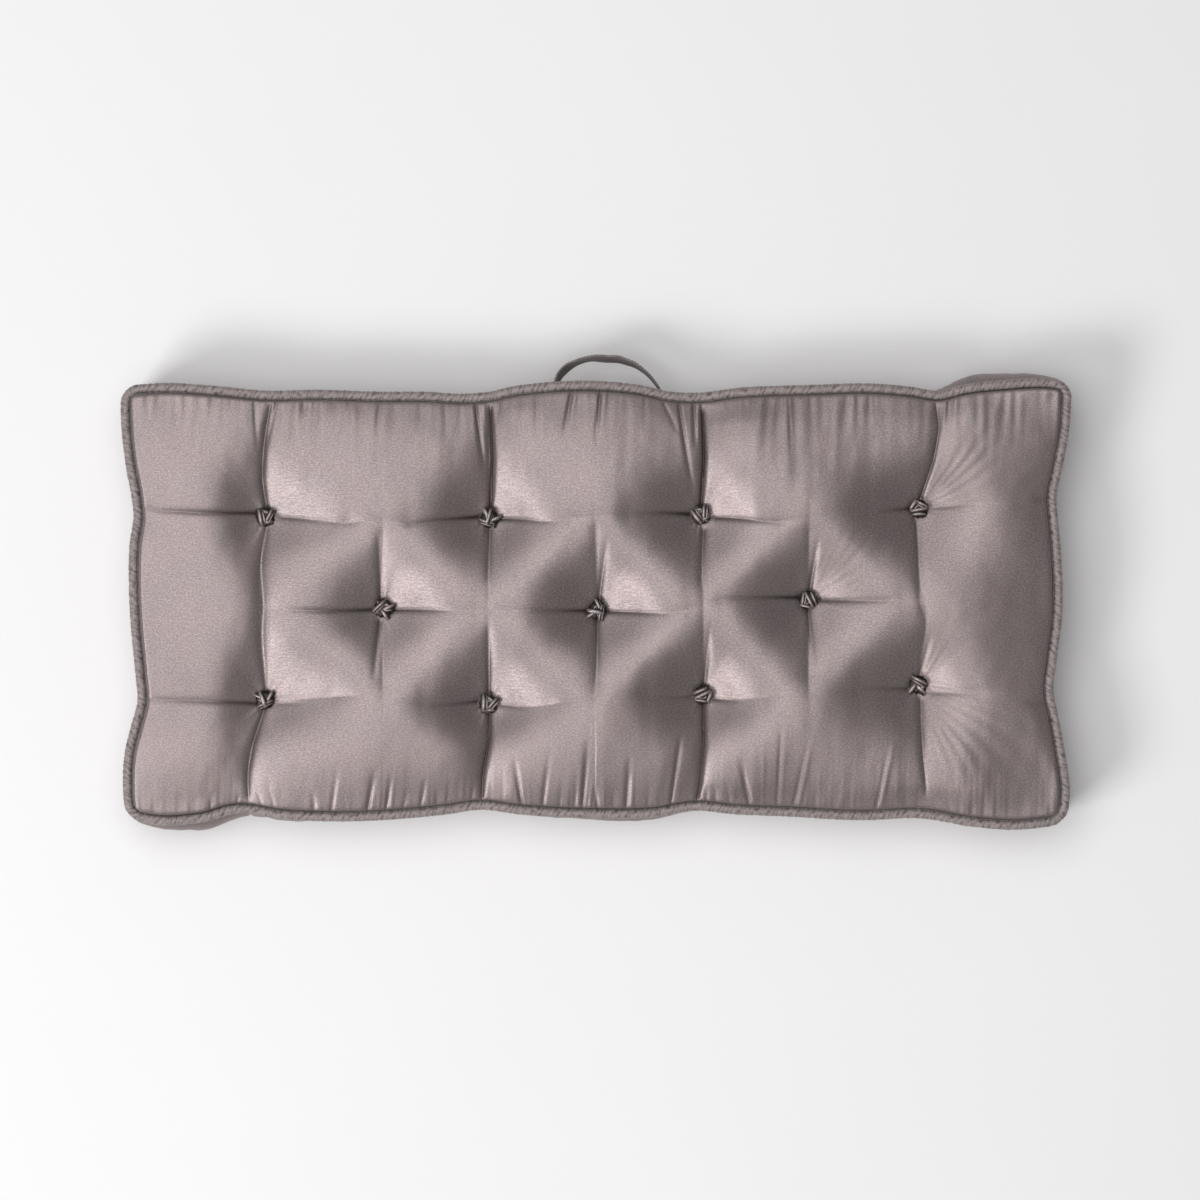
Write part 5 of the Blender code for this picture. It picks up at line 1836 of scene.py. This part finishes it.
@dataclass
class Strap:
    """The carrying strap, and the stitching that hems it and holds its tabs."""

    width: float = 0.025
    thickness: float = 0.003
    drop: float = 0.040
    stations: int = 150
    around: int = 28
    squareness: float = 0.55
    lift_off: float = 0.008
    cup: float = 0.0007
    ripple: Waves = Waves(0.0003, 51, 8, 0.012, 0.04)
    ripple_slant: float = 0.01
    hem_dip: float = 0.22
    hem_place: float = 0.82
    hem_width: float = 0.05
    end_round: float = 0.0012
    end_thickness: float = 0.45
    seat_half: float = 0.16
    seat_lines: int = 161
    hem: float = 0.0022
    tab_inset: float = 0.0025
    tab_ends: tuple[float, float] = (-0.052, 0.074)
    box_inset: float = 0.14
    thread: float = 0.00065
    thread_sink: float = 0.00015
    stitch_pitch: float = 0.0034
    stitch_length: float = 0.0023

    def seat(self, at: Array, drop: float) -> tuple[Array, Array]:
        """Finds the back band behind the strap.

        Args:
            at: Real places along X.
            drop: How far below the top seam.

        Returns:
            Y and Z of the band at each of them.
        """
        columns = np.linspace(-self.seat_half, self.seat_half, self.seat_lines)
        x, y, z = PLAN.band_point(columns, np.full(len(columns), COVER_Y), drop)
        return np.interp(at, x, y), np.interp(at, x, z)

    def surface(self, at: Array, row: float) -> Array:
        """Finds the strap's middle sheet.

        Args:
            at: Places along X.
            row: Place across the strap, from -1 to 1.

        Returns:
            Points about the plan's own centre.
        """
        places, stand_offs, leans = np.array(STRAP_STATIONS).T
        stand_off = np.maximum(0, curve_through(tuple(zip(places, stand_offs)), at))
        lean = np.radians(curve_through(tuple(zip(places, leans)), at))
        across = row * self.width / 2
        middle_y, middle_z = self.seat(at, self.drop)
        row_y, _ = self.seat(at, self.drop - across)
        blend = smooth_step(0.0, 1.0, stand_off / self.lift_off)
        seated = row_y + PLAN.gap + self.thickness / 2
        free = middle_y + stand_off + self.thickness / 2 + across * np.sin(lean)
        uneven = self.cup * (1 - row**2) + self.ripple.at(at, row * self.ripple_slant)
        y = seated + (free - seated + uneven) * blend
        return np.stack([at, y, middle_z + across * np.cos(lean)], axis=1)

    def build(self) -> bpy.types.Object:
        """Builds the strap as one closed ribbon with rounded edges.

        Returns:
            The strap as a plain mesh.
        """
        first_at, last_at = STRAP_STATIONS[0][0], STRAP_STATIONS[-1][0]
        at = np.linspace(first_at, last_at, self.stations)
        low, middle, high = (self.surface(at, row) for row in (-1.0, 0.0, 1.0))
        normal = np.cross(high - low, np.gradient(middle, axis=0))
        normal /= np.linalg.norm(normal, axis=1)[:, None]
        theta = np.arange(self.around) / self.around * math.tau
        u, w = rounded(np.cos(theta), self.squareness), rounded(np.sin(theta), self.squareness)
        near_end = np.minimum(at - first_at, last_at - at) / self.end_round + self.end_thickness
        half = (self.thickness / 2 * np.minimum(1.0, near_end))[:, None]
        hems = 1 - self.hem_dip * bell(np.abs(u) - self.hem_place, self.hem_width)
        sides = [self.surface(at, row) + normal * (up * hem) * half for row, up, hem in zip(u, w, hems)]
        rings = PLAN.stand(np.stack(sides, axis=1))
        ends = np.array([rings[0].mean(0), rings[-1].mean(0)])
        steps = np.linalg.norm(np.diff(middle, axis=0), axis=1)
        run = np.concatenate([[0], np.cumsum(steps)])
        draft = Draft()
        across = np.append(u, u[0]) * self.width / 2
        draft.add_tube(rings, ends, np.zeros(rings[..., 0].size + 2), run, across, inward=True)
        return draft.object("carrying_strap", Finish.STRAP)

    def line(self, start: tuple[float, float], end: tuple[float, float], steps: int = 40) -> Array:
        """Marks a line of stitches on the strap's outer face.

        Args:
            start: X and row of its start.
            end: X and row of its end.
            steps: Number of its points.

        Returns:
            Its points in the row frame.
        """
        at = np.linspace(start[0], end[0], steps)
        row = np.linspace(start[1], end[1], steps)
        points = np.array([self.surface(np.array([a]), r)[0] for a, r in zip(at, row)])
        beside = 0.0005
        out = self.surface(at + beside, 0.0) - self.surface(at - beside, 0.0)
        normal = np.stack([-out[:, 1], out[:, 0], np.zeros(steps)], axis=1)
        normal /= np.linalg.norm(normal, axis=1)[:, None]
        return PLAN.stand(points + normal * (self.thickness / 2 - self.thread_sink))

    def stitch_tree(self) -> bpy.types.GeometryNodeTree:
        """Builds the tree that lays stitches end to end along lines.

        Returns:
            The tree, with the sizes of a stitch as inputs.
        """
        graph = Growth("stitch_tree", ("Pitch", "Length", "Thread"))
        given = graph.given
        tangent = graph.add("GeometryNodeInputTangent").outputs[0]
        turn = graph.add("FunctionNodeAlignRotationToVector", {"Vector": tangent}, axis="X").outputs[0]
        inputs = {"Segments": 8, "Rings": 6, "Radius": 0.5}
        ball = graph.add("GeometryNodeMeshUVSphere", inputs).outputs["Mesh"]
        inputs = {"X": given["Length"], "Y": given["Thread"], "Z": given["Thread"]}
        size = graph.add("ShaderNodeCombineXYZ", inputs).outputs[0]
        inputs = {"Points": graph.path(given["Pitch"]), "Instance": ball, "Rotation": turn, "Scale": size}
        return graph.end(graph.add("GeometryNodeInstanceOnPoints", inputs).outputs[0])

    def build_stitches(self) -> bpy.types.Object:
        """Sews the two hems and a crossed box on each tab.

        Returns:
            The stitches as a plain mesh.
        """
        edge = 1 - 2 * self.hem / self.width
        inner = edge - self.box_inset
        left, right = STRAP_STATIONS[0][0] + self.tab_inset, STRAP_STATIONS[-1][0] - self.tab_inset
        lines = [self.line((left, row), (right, row), self.stations) for row in (-edge, edge)]
        for near, far in zip((left, right), self.tab_ends):
            corners = (
                ((near, -1), (near, 1)), ((far, -1), (far, 1)),
                ((near, -1), (far, 1)), ((near, 1), (far, -1)),
            )
            lines += [self.line((a, row * inner), (b, other * inner)) for (a, row), (b, other) in corners]
        values = {
            "Pitch": self.stitch_pitch,
            "Length": self.stitch_length,
            "Thread": self.thread,
            "Cloth": material_of(Finish.THREAD),
        }
        return grown("strap_stitching", lines, False, self.stitch_tree(), values)


@dataclass
class Studio:
    """A plain pale floor, soft lights and a camera straight above."""

    floor_half: float = 16.0
    floor_drop: float = 0.0002
    floor_tones: tuple[tuple[float, ...], ...] = ((0.804, 0.796, 0.799, 1), (0.824, 0.816, 0.819, 1))
    floor_roughness: float = 0.9
    floor_gloss: float = 0.1
    patch_scale: float = 3.0
    grit_scale: float = 320.0
    grit_height: float = 0.0004
    grit_strength: float = 0.25
    camera_height: float = 6.0
    sensor_width: float = 36.0
    frame_width: float = 1.2659
    aim: tuple[float, float] = (0.0037, 0.0053)
    light_aim: tuple[float, float, float] = (0.0, 0.0, 0.05)
    key_azimuth: float = 216.0
    key_elevation: float = 45.0
    key_distance: float = 5.6
    key_size: float = 2.0
    key_power: float = 164.0
    top_place: tuple[float, float, float] = (-0.8, 0.6, 6.0)
    top_size: float = 4.5
    top_power: float = 219.0
    sky: float = 0.24
    sky_colour: tuple[float, ...] = (1.0, 0.995, 0.99, 1.0)

    def floor(self) -> bpy.types.Object:
        """Lays the floor and gives it a faintly uneven matt finish.

        Returns:
            The floor.
        """
        mesh = bpy.data.meshes.new("pale_floor")
        h, z = self.floor_half, -self.floor_drop
        mesh.from_pydata([(-h, -h, z), (h, -h, z), (h, h, z), (-h, h, z)], [], [(0, 1, 2, 3)])
        material = bpy.data.materials.new("pale_plaster")
        material.use_nodes = True
        graph = Graph(material.node_tree)
        solid = graph.add("ShaderNodeTexCoord").outputs["Object"]
        grit = graph.noise(solid, self.grit_scale, 4.0)
        inputs = {"Height": grit, "Distance": self.grit_height, "Strength": self.grit_strength}
        looks = {
            "Base Color": graph.blend(graph.noise(solid, self.patch_scale, 3.0), *self.floor_tones),
            "Roughness": self.floor_roughness,
            "Specular IOR Level": self.floor_gloss,
            "Normal": graph.add("ShaderNodeBump", inputs).outputs["Normal"],
        }
        shader = material.node_tree.nodes["Principled BSDF"]
        for socket, value in looks.items():
            graph.feed(shader.inputs[socket], value)
        mesh.materials.append(material)
        return in_scene(bpy.data.objects.new("pale_floor", mesh))

    def light(self, name: str, place: Array, size: float, power: float) -> None:
        """Adds a square area light that faces the cushion.

        Args:
            name: Name of the light.
            place: Where it hangs.
            size: Length of its side.
            power: Its power in watts.
        """
        data = bpy.data.lights.new(name, "AREA")
        data.shape, data.size, data.energy = "SQUARE", size, power
        item = in_scene(bpy.data.objects.new(name, data))
        item.location = place
        aim = np.array(self.light_aim) - place
        pan, tilt = math.atan2(aim[1], aim[0]), math.atan2(np.hypot(aim[0], aim[1]), -aim[2])
        item.rotation_euler = (tilt, 0.0, pan - math.pi / 2)

    def build(self) -> bpy.types.Object:
        """Sets up the studio.

        Returns:
            The floor.
        """
        scene = bpy.context.scene
        scene.view_settings.view_transform = "Standard"
        world = bpy.data.worlds.new("even_room")
        world.use_nodes = True
        background = world.node_tree.nodes["Background"]
        background.inputs["Color"].default_value = self.sky_colour
        background.inputs["Strength"].default_value = self.sky
        scene.world = world
        azimuth, elevation = math.radians(self.key_azimuth), math.radians(self.key_elevation)
        level = math.cos(elevation)
        toward = (math.cos(azimuth) * level, math.sin(azimuth) * level, math.sin(elevation))
        self.light("key_light", np.array(toward) * self.key_distance, self.key_size, self.key_power)
        self.light("top_light", np.array(self.top_place), self.top_size, self.top_power)
        data = bpy.data.cameras.new("overhead_camera")
        data.lens = self.sensor_width * (self.camera_height - PLAN.top_seam) / self.frame_width
        camera = in_scene(bpy.data.objects.new("overhead_camera", data))
        camera.location = (*(np.array(self.aim) + PLAN.origin), self.camera_height)
        scene.camera = camera
        return self.floor()


def dress(piece: bpy.types.Object, slot: str, *nodes: str) -> None:
    """Seats a finished piece on the frame.

    Args:
        piece: The finished piece.
        slot: Material slot of the record; not used.
        nodes: CAD nodes that it stands for.
    """
    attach(piece, "root")
    if nodes:
        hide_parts(*nodes)
    triangles = sum(len(polygon.vertices) - 2 for polygon in piece.data.polygons)
    LOG.info("%s: %d triangles", piece.name, triangles)


def main() -> None:
    """Builds the studio, then every piece of the cushion in order."""
    logging.basicConfig(level=logging.INFO, format="%(name)s: %(message)s")
    Studio().build()
    cover = Cover()
    filled = cover.build()
    dress(filled, "cover", "cushion")
    for level, place in enumerate(("top", "bottom")):
        piping = Piping(f"gathered_piping_{place}", f"piping_{place}", level, seed=3 + 8 * level)
        dress(piping.build(cover.rim()), "piping", piping.node)
    for number, (name, x, y, _, _) in enumerate(TUFTS):
        style, turn = KNOTS[name]
        rosette = Rosette(name, PLAN.tuft_place(x, y), style, turn, 60 + number)
        dress(rosette.build(), "rosette", f"rosette_{name}")
    strap = Strap()
    dress(strap.build(), "strap", "strap")
    dress(strap.build_stitches(), "strap")


if __name__ == "__main__":
    main()
